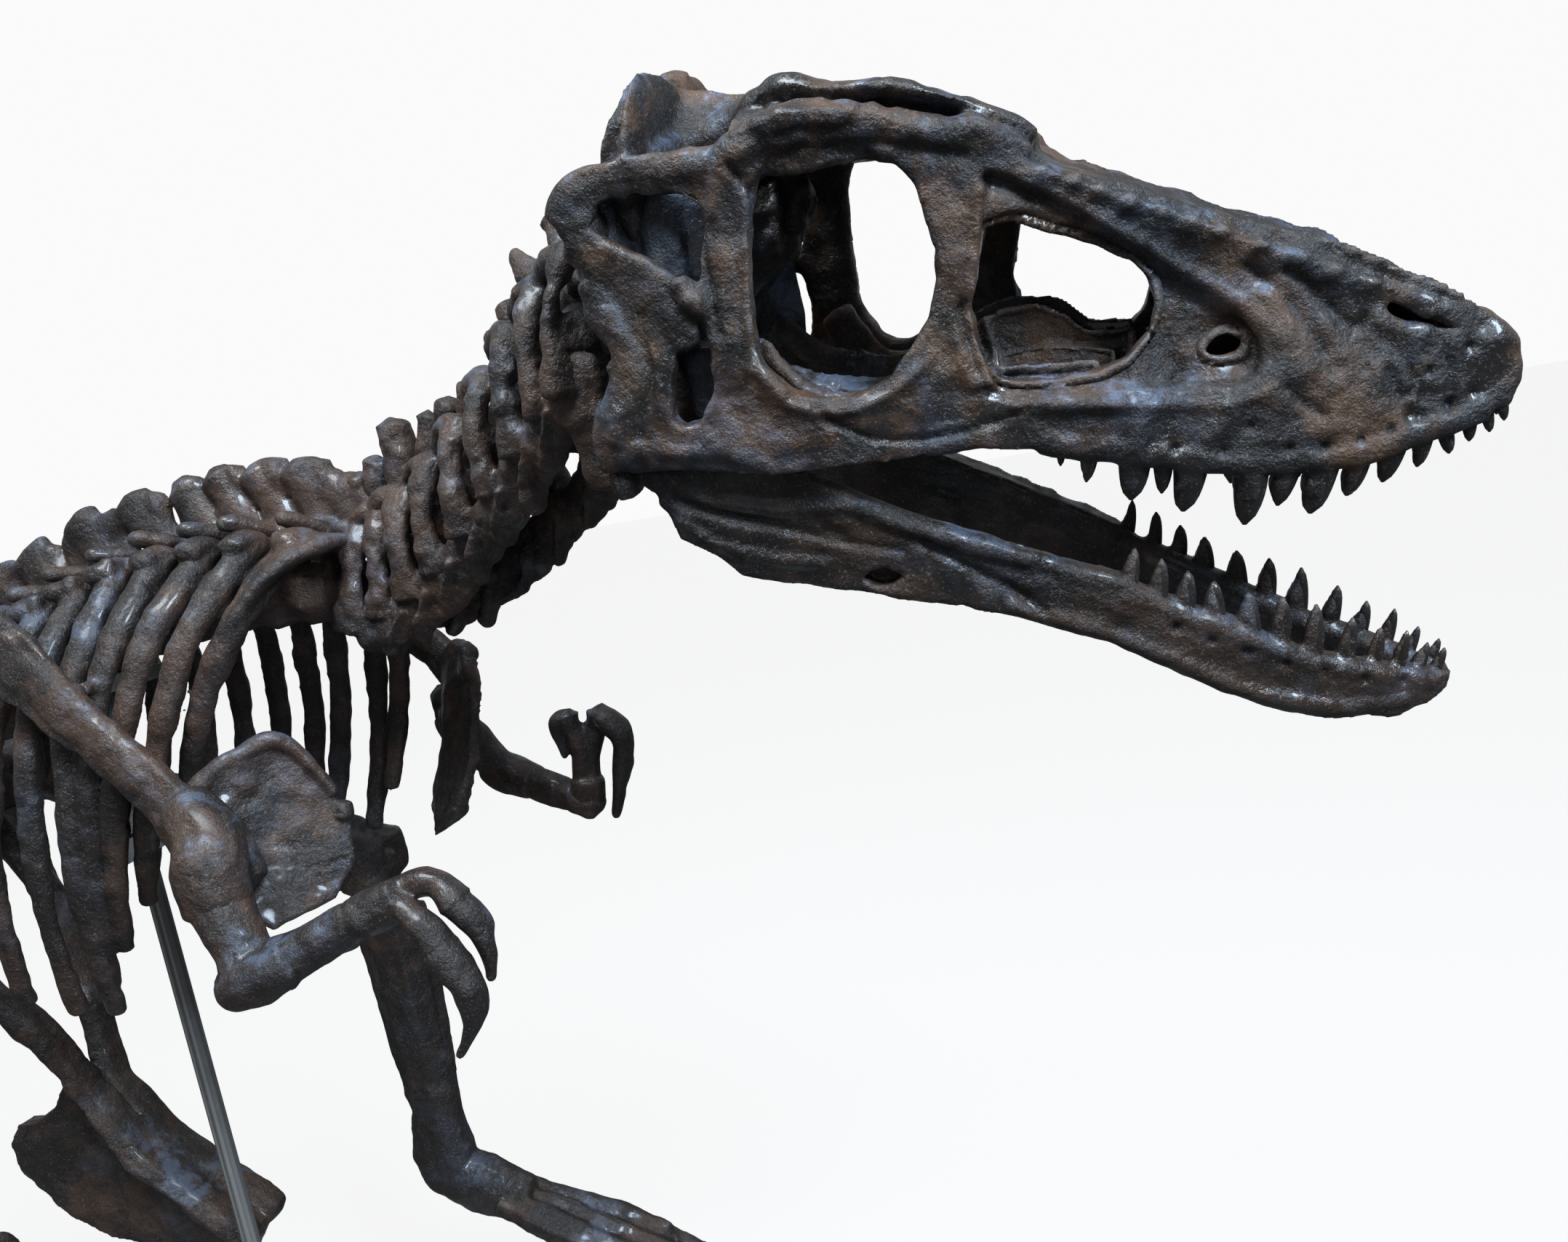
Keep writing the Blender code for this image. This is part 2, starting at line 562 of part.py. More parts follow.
# Hips: sacral bodies, a continuous spine plate and the two ilia
hips = [centra(BACK_END - GAP, HIP_END, HIP_BONES, (.062, .058), (.068, .062), .85)]
hips.append(slab([(.2, 1.56), (.2, 1.7), (.1, 1.715), (0, 1.71), (-.1, 1.695), (-.2, 1.665),
                  (-.2, 1.48), (0, 1.48)], (),
                 lambda x, z: (Vector((x, .016, z)), Vector((x, -.016, z)))))
ILIUM = ((.27, 1.58), (.26, 1.66), (.2, 1.72), (.1, 1.745), (-.06, 1.745), (-.22, 1.71),
         (-.33, 1.64), (-.37, 1.56), (-.34, 1.49), (-.24, 1.48), (-.15, 1.44), (-.13, 1.36),
         (-.11, 1.3), (-.05, 1.3), (-.05, 1.37), (.05, 1.37), (.06, 1.3), (.14, 1.3),
         (.17, 1.36), (.18, 1.44), (.2, 1.48), (.24, 1.47), (.26, 1.5))
for hand in (-1, 1):
    def blade(x, z, hand=hand):
        y = .105 + .05 * max(1.5 - z, 0) / .2 - .03 * max(z - 1.55, 0) / .2
        outer = y + (.034 if z < 1.45 else .014)
        return Vector((x, hand * outer, z)), Vector((x, hand * y, z))
    hips.append(slab(ILIUM, (), blade, ((.1, 1.6), (-.1, 1.6), (.0, 1.5), (.1, 1.5), (-.2, 1.6))))
    hips.append(tube([(0, hand * .1, HIP_Z), (0, hand * HIP_OUT, HIP_Z)], .062, None, 8, UP,
                     (True, True)))
    for x in (.15, .07, 0, -.07, -.15):
        p = spine_at(x)[0]
        side = Vector((0, hand * .12, .05))
        hips.append(tube([p, p + side], .028, .04, 4, Vector((1, 0, 0))))
build_node("hips", hips, BONE)

# Pubis: two shafts that meet above a long boot
pubis = []
for hand in (-1, 1):
    pubis.append(tube([(.105, hand * .165, 1.3 - GAP), (.14, hand * .16, 1.24),
                       (.25, hand * .115, 1.08), (.33, hand * .06, .9), (.36, hand * .026, .76),
                       (.44, hand * .03, .63), (.56, hand * .04, .52), (.64, hand * .042, .46)],
                      [.035, .03, .024, .022, .026, .028, .026, .024],
                      [.04, .045, .035, .034, .04, .045, .04, .03], 6, (0, 1, 0), (True, False),
                      ((0, 0, -1), None)))
BOOT = ((.3, .8), (.25, .73), (.2, .705), (.15, .7), (.12, .66), (.13, .59), (.19, .52),
        (.3, .45), (.45, .4), (.6, .4), (.64, .46), (.5, .6), (.4, .72), (.36, .8))
pubis.append(slab(BOOT, (), lambda x, z: (Vector((x, .02, z)), Vector((x, -.02, z))), ((.3, .6),)))
build_node("pubis", pubis, BONE)

ischium = []
for hand in (-1, 1):
    ischium.append(tube([(-.075, hand * .165, 1.3 - GAP), (-.1, hand * .155, 1.24),
                         (-.2, hand * .1, 1.08), (-.34, hand * .04, .9), (-.46, hand * .016, .76)],
                        [.03, .028, .02, .018, .02], [.035, .045, .03, .024, .03], 6, (0, 1, 0),
                        (True, False), ((0, 0, -1), None)))
ischium.append(tube([(-.33, 0, .92), (-.46, 0, .76)], .02, .03, 4, (0, 1, 0)))
build_node("ischium", ischium, BONE)

# Tail: three lengths of shrinking spools, spines, side processes and chevrons
TAIL_ENDS = (HIP_END, -1.13, -2.1, -3.2)
for part, count in enumerate(TAIL_BONES):
    x_from, x_to = TAIL_ENDS[part], TAIL_ENDS[part + 1]
    size = [.058, .043, .03, .01]
    tail = [centra(x_from - GAP, x_to, count, size[part:part + 2], size[part:part + 2], .8, 6)]
    for i in range(count):
        x = x_from + (x_to - x_from) * (i + .5) / count
        p, ahead, left, up = vertebra_frame(x)
        far = (HIP_END - x) / 3.0
        tall = .25 * (1 - far) ** 1.2 + .012
        wide = .15 * (1 - far * 1.6)
        drop = .2 * (1 - far) ** 1.3
        body = size[part] + (size[part + 1] - size[part]) * (i + .5) / count
        if far < .62:
            tail.append(tube([p, p + up * tall - ahead * tall * .25],
                             [.014 * (1.1 - far), .011 * (1.1 - far)],
                             [.03 * (1.1 - far), .024 * (1.1 - far)], 4, ahead, (True, True)))
            tail.append(tube([p - up * body * .5, p - up * (body + drop * .9) - ahead * drop * .45],
                             [.011 * (1.1 - far), .008 * (1.1 - far)],
                             [.02 * (1.1 - far), .017 * (1.1 - far)], 4, ahead, (True, True)))
        if wide > .04:
            tail.append(tube([p + left * wide, p - left * wide], .009, .022 * (1.1 - far), 4, up,
                             (True, True)))
    build_node(("tail_base", "tail_middle", "tail_end")[part], tail, BONE, 5)

# Shoulders: scapula blade running into the coracoid plate
SHOULDERS = {
    "right": (-1, (.74, -.63, .2), (1.045, -.352, 1.262),
              ((.66, -.26, 1.66), (.74, -.285, 1.62), (.86, -.305, 1.51), (.96, -.31, 1.4),
               (1.0, -.3, 1.33)),
              ((1.0, -.26, 1.41), (1.04, -.212, 1.435), (1.07, -.175, 1.44), (1.11, -.155, 1.37),
               (1.14, -.14, 1.29), (1.142, -.16, 1.22), (1.12, -.195, 1.172), (1.06, -.27, 1.16),
               (1.0, -.3, 1.22), (.98, -.31, 1.32))),
    "left": (1, (.74, .63, .2), (1.09, .345, 1.3),
             ((.72, .27, 1.7), (.8, .29, 1.66), (.95, .305, 1.58), (1.1, .3, 1.48),
              (1.15, .29, 1.41)),
             ((1.13, .29, 1.47), (1.18, .24, 1.5), (1.225, .2, 1.49), (1.245, .16, 1.4),
              (1.24, .11, 1.29), (1.2, .09, 1.2), (1.14, .11, 1.165), (1.1, .19, 1.2),
              (1.1, .28, 1.28), (1.11, .31, 1.37)))}


def coracoid(ring, normal):
    """A thin plate with dished faces inside the given outline."""
    ring = [Vector(v) for v in ring]
    middle = sum(ring, Vector()) / len(ring)
    count = len(ring)
    verts = [v + normal * .011 for v in ring] + [v - normal * .011 for v in ring]
    verts += [middle - normal * .006, middle - normal * .03]
    faces = []
    for k in range(count):
        n = (k + 1) % count
        faces += [(k, n, 2 * count), (count + n, count + k, 2 * count + 1),
                  (n, k, count + k, count + n)]
    return verts, faces


def build_shoulder(name, hand, normal, socket, line, plate):
    """Blade, coracoid, arm socket and the peg that meets the fourth rib."""
    socket, boss = Vector(socket), BOSS[name]
    pieces = [tube(line, [.075, .062, .04, .04, .055], [.013, .015, .018, .022, .026], 6,
                   (0, hand, .2)),
              coracoid(plate, Vector(normal)),
              tube([socket + Vector((0, -hand * .045, .09)), socket + Vector((0, 0, .03)), socket],
                   [.03, .05, .042], [.026, .045, .036], 6, (1, 0, 0), (False, True)),
              tube([boss + Vector((0, hand * .028, 0)), boss + Vector((0, hand * GAP, 0))],
                   .013, None, 6, UP, (True, True))]
    build_node("shoulder_" + name, pieces, BONE)


# Arms: upper arm, forearm and a two-fingered hand with big claws
ARMS = {
    "right": ((1.11, -.39, 1.137), (1.285, -.36, 1.2),
              (((1.342, -.36, 1.215), (1.38, -.37, 1.185), (1.405, -.37, 1.13)),
               ((1.4, -.37, 1.14), (1.425, -.37, 1.07), (1.39, -.37, 1.0)),
               ((1.345, -.335, 1.23), (1.395, -.33, 1.23), (1.42, -.33, 1.19)),
               ((1.415, -.33, 1.2), (1.445, -.33, 1.16), (1.434, -.33, 1.105)))),
    "left": ((1.155, .375, 1.195), (1.315, .34, 1.13),
             (((1.34, .34, 1.19), (1.34, .33, 1.25), (1.335, .33, 1.31)),
              ((1.338, .334, 1.294), (1.312, .331, 1.302), (1.308, .33, 1.23)),
              ((1.345, .345, 1.2), (1.37, .35, 1.26), (1.39, .35, 1.305)),
              ((1.382, .352, 1.29), (1.432, .351, 1.24), (1.38, .35, 1.09))))}


def build_arm(name, socket, elbow, wrist, fingers):
    """Three nodes from the shoulder's socket to the claws."""
    head, elbow, wrist = Vector(socket) - Vector((0, 0, GAP)), Vector(elbow), Vector(wrist)
    upper = [tube([head, head - Vector((0, 0, .03)), head.lerp(elbow, .5), head.lerp(elbow, .85),
                   elbow], [.042, .044, .034, .036, .04], None, 6, (1, 0, 0), (True, False))]
    reach = (wrist - elbow).normalized()
    face = elbow + reach * .052
    upper.append(tube([elbow - reach * .01, face], .03, .03, 6, UP, (False, True)))
    build_node("upper_arm_" + name, upper, BONE)
    near = face + reach * GAP
    stop = wrist - reach * GAP
    lower = [tube([near, near.lerp(stop, .5), stop], [.03, .02, .026], [.034, .026, .028], 6, UP,
                  (True, True))]
    build_node("forearm_" + name, lower, BONE)
    palm = [tube([wrist, wrist + reach * .02, wrist + reach * .055], [.026, .032, .026], None, 6,
                 UP, (True, False))]
    for k, chain in enumerate(fingers):
        if k % 2:
            palm.append(claw(chain, .03 if k == 1 else .025, 5))
        else:
            line = [wrist + reach * .045] + [Vector(c) for c in chain]
            palm.append(tube(line, [.022, .02, .017, .02], None, 5, (0, 1, 0)))
    build_node("hand_" + name, palm, BONE)


for name, (hand, normal, socket, line, plate) in SHOULDERS.items():
    build_shoulder(name, hand, normal, socket, line, plate)
    build_arm(name, socket, *ARMS[name])

# Legs: hip, knee, ankle, ball of the foot and the way the toes point
LEGS = {
    "left": ((.0, .27, HIP_Z), (.8, .37, 1.03), (.825, .37, .3), (1.25, .4, .075), (1, .02, 0)),
    "right": ((.0, -.27, HIP_Z), (.32, -.34, .6), (-.36, -.33, .42), (-.22, -.34, .0),
              (.99, -.05, 0))}
FLOOR = -CENTRE_SHIFT.z
BASE_TOP = FLOOR + .03


def build_leg(name, hand, hip, knee, ankle):
    """Thigh and shank; returns the ankle's face, where the foot begins."""
    thigh_way, shank_way = (knee - hip).normalized(), (ankle - knee).normalized()
    foot_way = (Vector(LEGS[name][3]) - ankle).normalized()
    top = Vector((hip.x, hand * (HIP_OUT + GAP), hip.z))
    cut = knee + shank_way * .09
    thigh = [bone(hip + Vector((0, hand * .03, .02)), knee, (.07, .085), .052, 7,
                  Vector((.02, hand * .03, .03)), (0, 1, 0)),
             tube([hip + Vector((0, hand * .01, 0)), top], .05, .05, 7, UP, (False, True)),
             tube([knee - shank_way * .02, cut], .06, .045, 7, (0, 1, 0), (False, True))]
    build_node("thigh_" + name, thigh, BONE)
    start, stop = cut + shank_way * GAP, ankle - foot_way * .02
    shank = [tube([start, start.lerp(stop, .12), start.lerp(stop, .35), start.lerp(stop, .75),
                   start.lerp(stop, .92), stop + shank_way * .02],
                  [.075, .072, .054, .048, .07, .06], [.06, .062, .048, .042, .052, .045], 7,
                  (0, 1, 0), (True, False), (shank_way, None))]
    side = shank_way.cross(Vector((0, 1, 0))) * .058 + Vector((0, hand * .035, 0))
    shank.append(tube([start.lerp(stop, .03) + side, start.lerp(stop, .4) + side * .9,
                       start.lerp(stop, .95) + side * .6], [.024, .016, .018], None, 5))
    face = ankle + foot_way * .085
    shank.append(tube([ankle - foot_way * .05, face], [.055, .066], [.045, .052], 7, (0, 1, 0),
                      (False, True)))
    build_node("shank_" + name, shank, BONE)
    return face, foot_way


def build_foot(name, hand, face, foot_way, ball, heading):
    """Three foot bones, three clawed toes on the plate and a small spur."""
    across = UP.cross(foot_way).normalized()
    foot = [tube([face + foot_way * GAP, face.lerp(ball, .2)], [.066, .06], [.052, .048], 7,
                 (0, 1, 0), (True, False))]
    flat_way = Vector(heading).normalized()
    flat_side = UP.cross(flat_way)
    for spread in (-1, 0, 1):
        root = face.lerp(ball, .08) + across * spread * .03
        end = ball + flat_side * spread * .055 + foot_way * (0 if spread else .03)
        foot.append(tube([root, root.lerp(end, .5), end], [.036, .028, .036],
                         [.034, .026, .034], 5, (0, 1, 0)))
        way = (flat_way + flat_side * spread * .26).normalized()
        size, length = (.03, .32) if spread else (.034, .38)
        low = BASE_TOP + GAP + size * .7071
        ground = Vector((end.x, end.y, low))
        points = [end, ground + way * length * .4, ground + way * length * .8]
        foot.append(tube(points, [size, size, size * .8], [size, size, size], 4, UP))
        foot.append(claw([points[-1], ground + way * length - UP * .004,
                          ground + way * (length + .08) - UP * size * .6], size * .8, 5))
    spur = face.lerp(ball, .45) - across * hand * .045
    foot.append(claw([spur + across * hand * .03, spur - UP * .05,
                      spur - UP * .1 + foot_way * .05], .018, 5))
    build_node("foot_" + name, foot, BONE)


for name, hand in (("left", 1), ("right", -1)):
    hip, knee, ankle, ball = (Vector(p) for p in LEGS[name][:4])
    face, foot_way = build_leg(name, hand, hip, knee, ankle)
    build_foot(name, hand, face, foot_way, ball, LEGS[name][4])

# Mount: a floor plate and three rods with saddles under the bones they hold
RODS = (("stand_rod_front", NECK_END - step * 6, -.085, .0155, "back"),
        ("stand_rod_hips", -.04, 0, .0155, "hips"),
        ("stand_rod_tail", -1.75, 0, .012, "tail_middle"))
for name, x, aside, radius, load in RODS:
    held = spine_at(x)[0]
    half_long, half_wide = .03, .035
    low_side = underside(NODES[load], held, half_long, half_wide)
    foot = Vector((held.x, held.y + aside, BASE_TOP + GAP))
    top = Vector((foot.x, foot.y, low_side - GAP))
    pieces = [tube([foot, top - UP * .002], radius, None, 12, (1, 0, 0), (True, True)),
              tube([foot, foot + UP * .014], .06, None, 16, (1, 0, 0), (True, True)),
              box((held.x - half_long, min(foot.y - radius, held.y - half_wide), top.z - .024),
                  (held.x + half_long, held.y + half_wide, top.z))]
    if name == "stand_rod_front":
        pieces.append(box((x - .008, -.235, 1.245), (x + .008, .2, 1.295)))
    build_node(name, pieces, STEEL)
outline = []
corner, half = .12, .48
for cx, cy, turn in ((1.6, half, 0), (-1.98, half, 90), (-1.98, -half, 180), (1.6, -half, 270)):
    for k in range(5):
        a = math.radians(turn + k * 22.5)
        outline.append((cx + corner * math.cos(a), cy + corner * math.sin(a)))
plate = slab(outline, (), lambda x, y: (Vector((x, y, BASE_TOP)), Vector((x, y, FLOOR))))
build_node("stand_base", [plate], STEEL)

total = sum(len(o.data.polygons) for o in bpy.data.objects if o.type == "MESH")
low = Vector([min((v.co[k] for o in bpy.data.objects for v in o.data.vertices)) for k in range(3)])
high = Vector([max((v.co[k] for o in bpy.data.objects for v in o.data.vertices)) for k in range(3)])
print("triangles in all:", total, "box", [round(v, 4) for v in low], [round(v, 4) for v in high])
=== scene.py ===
# %% [markdown]
# # A mounted tyrannosaur skeleton
#
# The real object is a life-size skeleton on a steel mount. Its bones are nearly black, with rust-brown
# patches, a bluish gloss where varnish has pooled, and a gritty, lumpy surface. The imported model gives
# every bone its place and size. This script lays the finished bone over it.

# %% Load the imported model
import math

import bmesh
import bpy
import numpy as np
from mathutils import Matrix, Vector


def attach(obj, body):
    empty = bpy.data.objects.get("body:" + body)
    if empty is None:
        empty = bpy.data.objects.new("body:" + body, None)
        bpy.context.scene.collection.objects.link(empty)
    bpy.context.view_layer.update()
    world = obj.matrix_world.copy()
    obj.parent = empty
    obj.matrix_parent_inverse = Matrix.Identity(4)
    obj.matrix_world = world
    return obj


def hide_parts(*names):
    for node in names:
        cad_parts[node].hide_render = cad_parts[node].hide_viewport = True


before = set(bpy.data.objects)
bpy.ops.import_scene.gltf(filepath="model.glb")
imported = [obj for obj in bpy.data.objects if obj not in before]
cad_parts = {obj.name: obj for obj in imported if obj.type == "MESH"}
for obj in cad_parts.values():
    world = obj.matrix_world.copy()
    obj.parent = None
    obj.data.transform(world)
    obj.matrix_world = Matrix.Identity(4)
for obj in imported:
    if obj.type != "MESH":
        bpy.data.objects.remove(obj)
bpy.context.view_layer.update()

# %% [markdown]
# ## Camera
#
# The photograph looks slightly down at the head from the animal's right, with a lens of moderate
# width. The camera's place and direction were found from the skeleton's own lines, so the render can
# be laid over the photograph. The focal length belongs to a 36 mm wide sensor.

# %% Place the camera
SHIFT = Vector((0.1935, 0.0, 0.1))
EYE = Vector((2.316, -1.757, 1.75)) + SHIFT
LOOK = Vector((-.239, .96, -.148)).normalized()
RIGHT = Vector((.961, .212, -.178))
RIGHT = (RIGHT - LOOK * RIGHT.dot(LOOK)).normalized()
camera = bpy.data.objects.new("camera", bpy.data.cameras.new("camera"))
bpy.context.scene.collection.objects.link(camera)
turn = Matrix((RIGHT, RIGHT.cross(LOOK), -LOOK)).transposed()
camera.matrix_world = Matrix.Translation(EYE) @ turn.to_4x4()
camera.data.sensor_width = 36
camera.data.lens = 27
camera.data.clip_start, camera.data.clip_end = .05, 200
bpy.context.scene.camera = camera
print("camera height above the floor:", round(EYE.z, 2), "m")

# %% [markdown]
# ## Clay tools
#
# Bone has no straight edges, so every bone is modelled as if in clay. Closed lofts are pressed
# together, a voxel remesh turns the heap into one skin, smoothing rounds its edges, and a few layers
# of random lumps give it the melted, hand-worked surface. Lofts are quick to place because they need
# only a centre line and two half widths.


# %% Lofts
def rounded(points, per_span=4):
    """Points on a smooth curve through the given points."""
    points = [Vector(p) for p in points]
    last, out = len(points) - 1, []
    for i in range(last):
        p0, p1, p2, p3 = (points[max(i - 1, 0)], points[i], points[i + 1], points[min(i + 2, last)])
        for k in range(per_span):
            u = k / per_span
            out.append(.5 * (2 * p1 + (p2 - p0) * u + (2 * p0 - 5 * p1 + 4 * p2 - p3) * u * u
                             + (3 * p1 - p0 - 3 * p2 + p3) * u ** 3))
    return out + [points[-1]]


def spread(sizes, count, per_span):
    """Half widths given at the points, spread over the smooth curve."""
    if not isinstance(sizes, (list, tuple)):
        return [sizes] * ((count - 1) * per_span + 1)
    stops = [i / per_span for i in range((count - 1) * per_span + 1)]
    return list(np.interp(stops, range(count), sizes))


def loft(points, wide, high=None, sides=10, up=(0, 0, 1), per_span=4):
    """A closed, round-ended tube of ellipses along a smooth curve."""
    count = len(points)
    wide = spread(wide, count, per_span)
    high = wide if high is None else spread(high, count, per_span)
    line = rounded(points, per_span)
    verts, faces, total = [], [], len(line)
    for i, p in enumerate(line):
        ahead = (line[min(i + 1, total - 1)] - line[max(i - 1, 0)]).normalized()
        side = Vector(up).cross(ahead)
        if side.length < .05:
            side = Vector((0, 1, 0)).cross(ahead)
        side.normalize()
        over = ahead.cross(side)
        for k in range(sides):
            a = 2 * math.pi * k / sides
            verts.append(p + side * wide[i] * math.cos(a) + over * high[i] * math.sin(a))
    for i in range(total - 1):
        for k in range(sides):
            n = (k + 1) % sides
            faces.append((i * sides + k, i * sides + n, (i + 1) * sides + n, (i + 1) * sides + k))
    for ring, end, back in ((0, line[0], line[1]), (total - 1, line[-1], line[-2])):
        tip = len(verts)
        bulge = min(wide[ring], high[ring]) * .6
        verts.append(end + (end - back).normalized() * bulge)
        for k in range(sides):
            a, b = ring * sides + k, ring * sides + (k + 1) % sides
            faces.append((b, a, tip) if ring == 0 else (a, b, tip))
    return verts, faces


print("loft of a test rod:", len(loft([(0, 0, 0), (0, 0, 1)], .1)[0]), "points")


# %% [markdown]
# ## Random lumps
#
# Real bone is swollen and pitted all over. A bump texture would leave its outline straight, so the
# points themselves are moved. Random heights on a small lattice, blended smoothly, give even bumps of
# any size, and a seed keeps them the same on every run.

# %% Random lumps
def lumps(points, size, seed):
    """Smooth random heights between -1 and 1, about one bump in every size metres."""
    grid = np.random.default_rng(seed).random((32, 32, 32))
    p = points / size + 11.7
    cell = np.floor(p).astype(int)
    f = p - cell
    f = f * f * (3 - 2 * f)
    total = np.zeros(len(points))
    for corner in range(8):
        bits = [(corner >> k) & 1 for k in range(3)]
        weight = np.ones(len(points))
        for k in range(3):
            weight *= f[:, k] if bits[k] else 1 - f[:, k]
        i, j, k = ((cell[:, m] + bits[m]) % 32 for m in range(3))
        total += weight * grid[i, j, k]
    return total * 2 - 1


print("lumps at two points:", lumps(np.array([[0, 0, 0], [.5, .2, .1]]), .05, 1).round(2))


# %% [markdown]
# ## Marks
#
# Grooves, ridges and pits are drawn as lines on a flat side view, each with a half width and a height.
# Summed up, they push the clay out or press it in. A basin presses in everything inside an outline.


# %% Marks drawn on a side view
def curve_of(line):
    """A smooth version of a flat line."""
    if len(line) == 1:
        line = line * 2
    return np.array([p[:2] for p in rounded([(a, b, 0) for a, b in line], 3)])


def near_line(flat, line):
    """Distance from each flat point to a line."""
    best = np.full(len(flat), 9.0)
    for a, b in zip(line, line[1:]):
        way = b - a
        u = np.clip(((flat - a) @ way) / max(way @ way, 1e-9), 0, 1)
        gap = flat - a - u[:, None] * way
        best = np.minimum(best, np.hypot(gap[:, 0], gap[:, 1]))
    return best


def marks(flat, table):
    """Total height of all marks at each flat point."""
    total = np.zeros(len(flat))
    for width, height, *lines in table:
        for line in lines:
            total += height * np.exp(-(near_line(flat, curve_of(line)) / width) ** 2)
    return total


def basin(flat, outline, depth, slope):
    """Minus depth inside a closed outline, easing to zero at its edge."""
    loop = curve_of(list(outline) + [outline[0]])
    inner = np.zeros(len(flat), bool)
    for (xa, ya), (xb, yb) in zip(loop, loop[1:]):
        crosses = (ya > flat[:, 1]) != (yb > flat[:, 1])
        where = xa + (xb - xa) * (flat[:, 1] - ya) / (yb - ya if yb != ya else 1e-9)
        inner ^= crosses & (flat[:, 0] < where)
    fade = np.clip(near_line(flat, loop) / slope, 0, 1)
    return np.where(inner, -depth * fade * fade * (3 - 2 * fade), 0)


print("groove height at its middle:", marks(np.array([[.5, 0]]), [(.01, -.002, [(0, 0), (1, 0)])]))


# %% [markdown]
# ## From clay to bone
#
# On the real skeleton each bone is one piece with no seams. Here a bone is a heap of lofts, often with a
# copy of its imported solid. Boolean unions of so many pieces are slow and leave sharp creases. A voxel
# remesh is quick and lets the pieces flow together, and smoothing then rounds every edge like worn bone.


# %% One mesh from a heap
def heaped(name, heap):
    """One mesh from many closed lofts."""
    verts, faces = [], []
    for part_verts, part_faces in heap:
        start = len(verts)
        verts += [tuple(v) for v in part_verts]
        faces += [tuple(start + i for i in f) for f in part_faces]
    mesh = bpy.data.meshes.new(name)
    mesh.from_pydata(verts, [], faces)
    bm = bmesh.new()
    bm.from_mesh(mesh)
    bmesh.ops.remove_doubles(bm, verts=bm.verts, dist=1e-6)
    bmesh.ops.recalc_face_normals(bm, faces=bm.faces)
    bm.to_mesh(mesh)
    bm.free()
    return mesh


def solid_of(name):
    """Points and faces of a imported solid, as one more piece for a heap."""
    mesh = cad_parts[name].data
    return [v.co for v in mesh.vertices], [f.vertices for f in mesh.polygons]


print("packed skull:", len(solid_of("skull")[0]), "points")


# %% [markdown]
# The skin is pushed in and out along its normals, by coarse lumps first and finer ones after them. A
# bone may add its own carving, and a bend that moves whole regions.


# %% Skin a heap
def bone_skin(name, heap, nodes, voxel, rounds, swell, rough, carve=None, bend=None):
    """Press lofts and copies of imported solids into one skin, round it, roughen it, carve it and bend it."""
    clay = bpy.data.objects.new(name + "_heap", heaped(name + "_heap", heap + [solid_of(n) for n in nodes]))
    bpy.context.scene.collection.objects.link(clay)
    remesh = clay.modifiers.new("skin", "REMESH")
    remesh.mode = "VOXEL"
    remesh.voxel_size = voxel
    smooth = clay.modifiers.new("round", "SMOOTH")
    smooth.factor = .5
    smooth.iterations = rounds
    ready = clay.evaluated_get(bpy.context.evaluated_depsgraph_get())
    mesh = bpy.data.meshes.new_from_object(ready)
    bpy.data.objects.remove(clay)
    mesh.name = name
    count = len(mesh.vertices)
    co = np.empty(count * 3, np.float32)
    normal = np.empty(count * 3, np.float32)
    mesh.vertices.foreach_get("co", co)
    mesh.vertices.foreach_get("normal", normal)
    co, normal = co.reshape(-1, 3).astype(float), normal.reshape(-1, 3).astype(float)
    push = np.full(count, float(swell))
    for number, (size, height) in enumerate(rough):
        push += height * lumps(co, size, 3 + number)
    if carve:
        push += carve(co, normal)
    co += normal * push[:, None]
    if bend:
        co = bend(co)
    mesh.vertices.foreach_set("co", co.astype(np.float32).ravel())
    mesh.polygons.foreach_set("use_smooth", [True] * len(mesh.polygons))
    mesh.update()
    piece = bpy.data.objects.new(name, mesh)
    bpy.context.scene.collection.objects.link(piece)
    print(f"{name}: {len(mesh.polygons)} faces")
    return piece


def settle(piece, material, slot, *nodes):
    """Give a finished piece its material, body and the CAD nodes that it stands for."""
    piece.data.materials.clear()
    piece.data.materials.append(material)
    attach(piece, "root")
    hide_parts(*nodes)
    print(f"{piece.name} stands for {', '.join(nodes)}")


# %% [markdown]
# ## Patina
#
# Every bone shares one finish: a near-black ground, brown where it is dry, painted shade in concave places,
# lighter wear on edges, a painted cool sheen that stands for the reflection of the bluish lights and is
# strongest on what faces up, rust flecks, dust, and pools of varnish that shine. One node group makes these
# as a colour, a roughness and a height, and each material sets its own amounts. The shader stays in the
# material.


# %% Node helpers
def node(tree, kind, **values):
    """Add a node and set its properties."""
    made = tree.nodes.new(kind)
    for key, value in values.items():
        setattr(made, key, value)
    return made


def noise(tree, place, scale, detail, rough=.6, distort=0.0):
    """A noise texture read at place."""
    made = node(tree, "ShaderNodeTexNoise")
    made.inputs["Scale"].default_value = scale
    made.inputs["Detail"].default_value = detail
    made.inputs["Roughness"].default_value = rough
    made.inputs["Distortion"].default_value = distort
    tree.links.new(place, made.inputs["Vector"])
    return made.outputs["Fac"]


def window(tree, value, low, high):
    """Zero below low, one above high, a soft step between."""
    made = node(tree, "ShaderNodeMapRange", interpolation_type="SMOOTHSTEP")
    made.inputs["From Min"].default_value = low
    made.inputs["From Max"].default_value = high
    tree.links.new(value, made.inputs["Value"])
    return made.outputs["Result"]


def maths(tree, operation, a, b):
    """One math node on two values or sockets."""
    made = node(tree, "ShaderNodeMath", operation=operation)
    for socket, value in zip(made.inputs, (a, b)):
        if isinstance(value, (int, float)):
            socket.default_value = value
        else:
            tree.links.new(value, socket)
    return made.outputs[0]


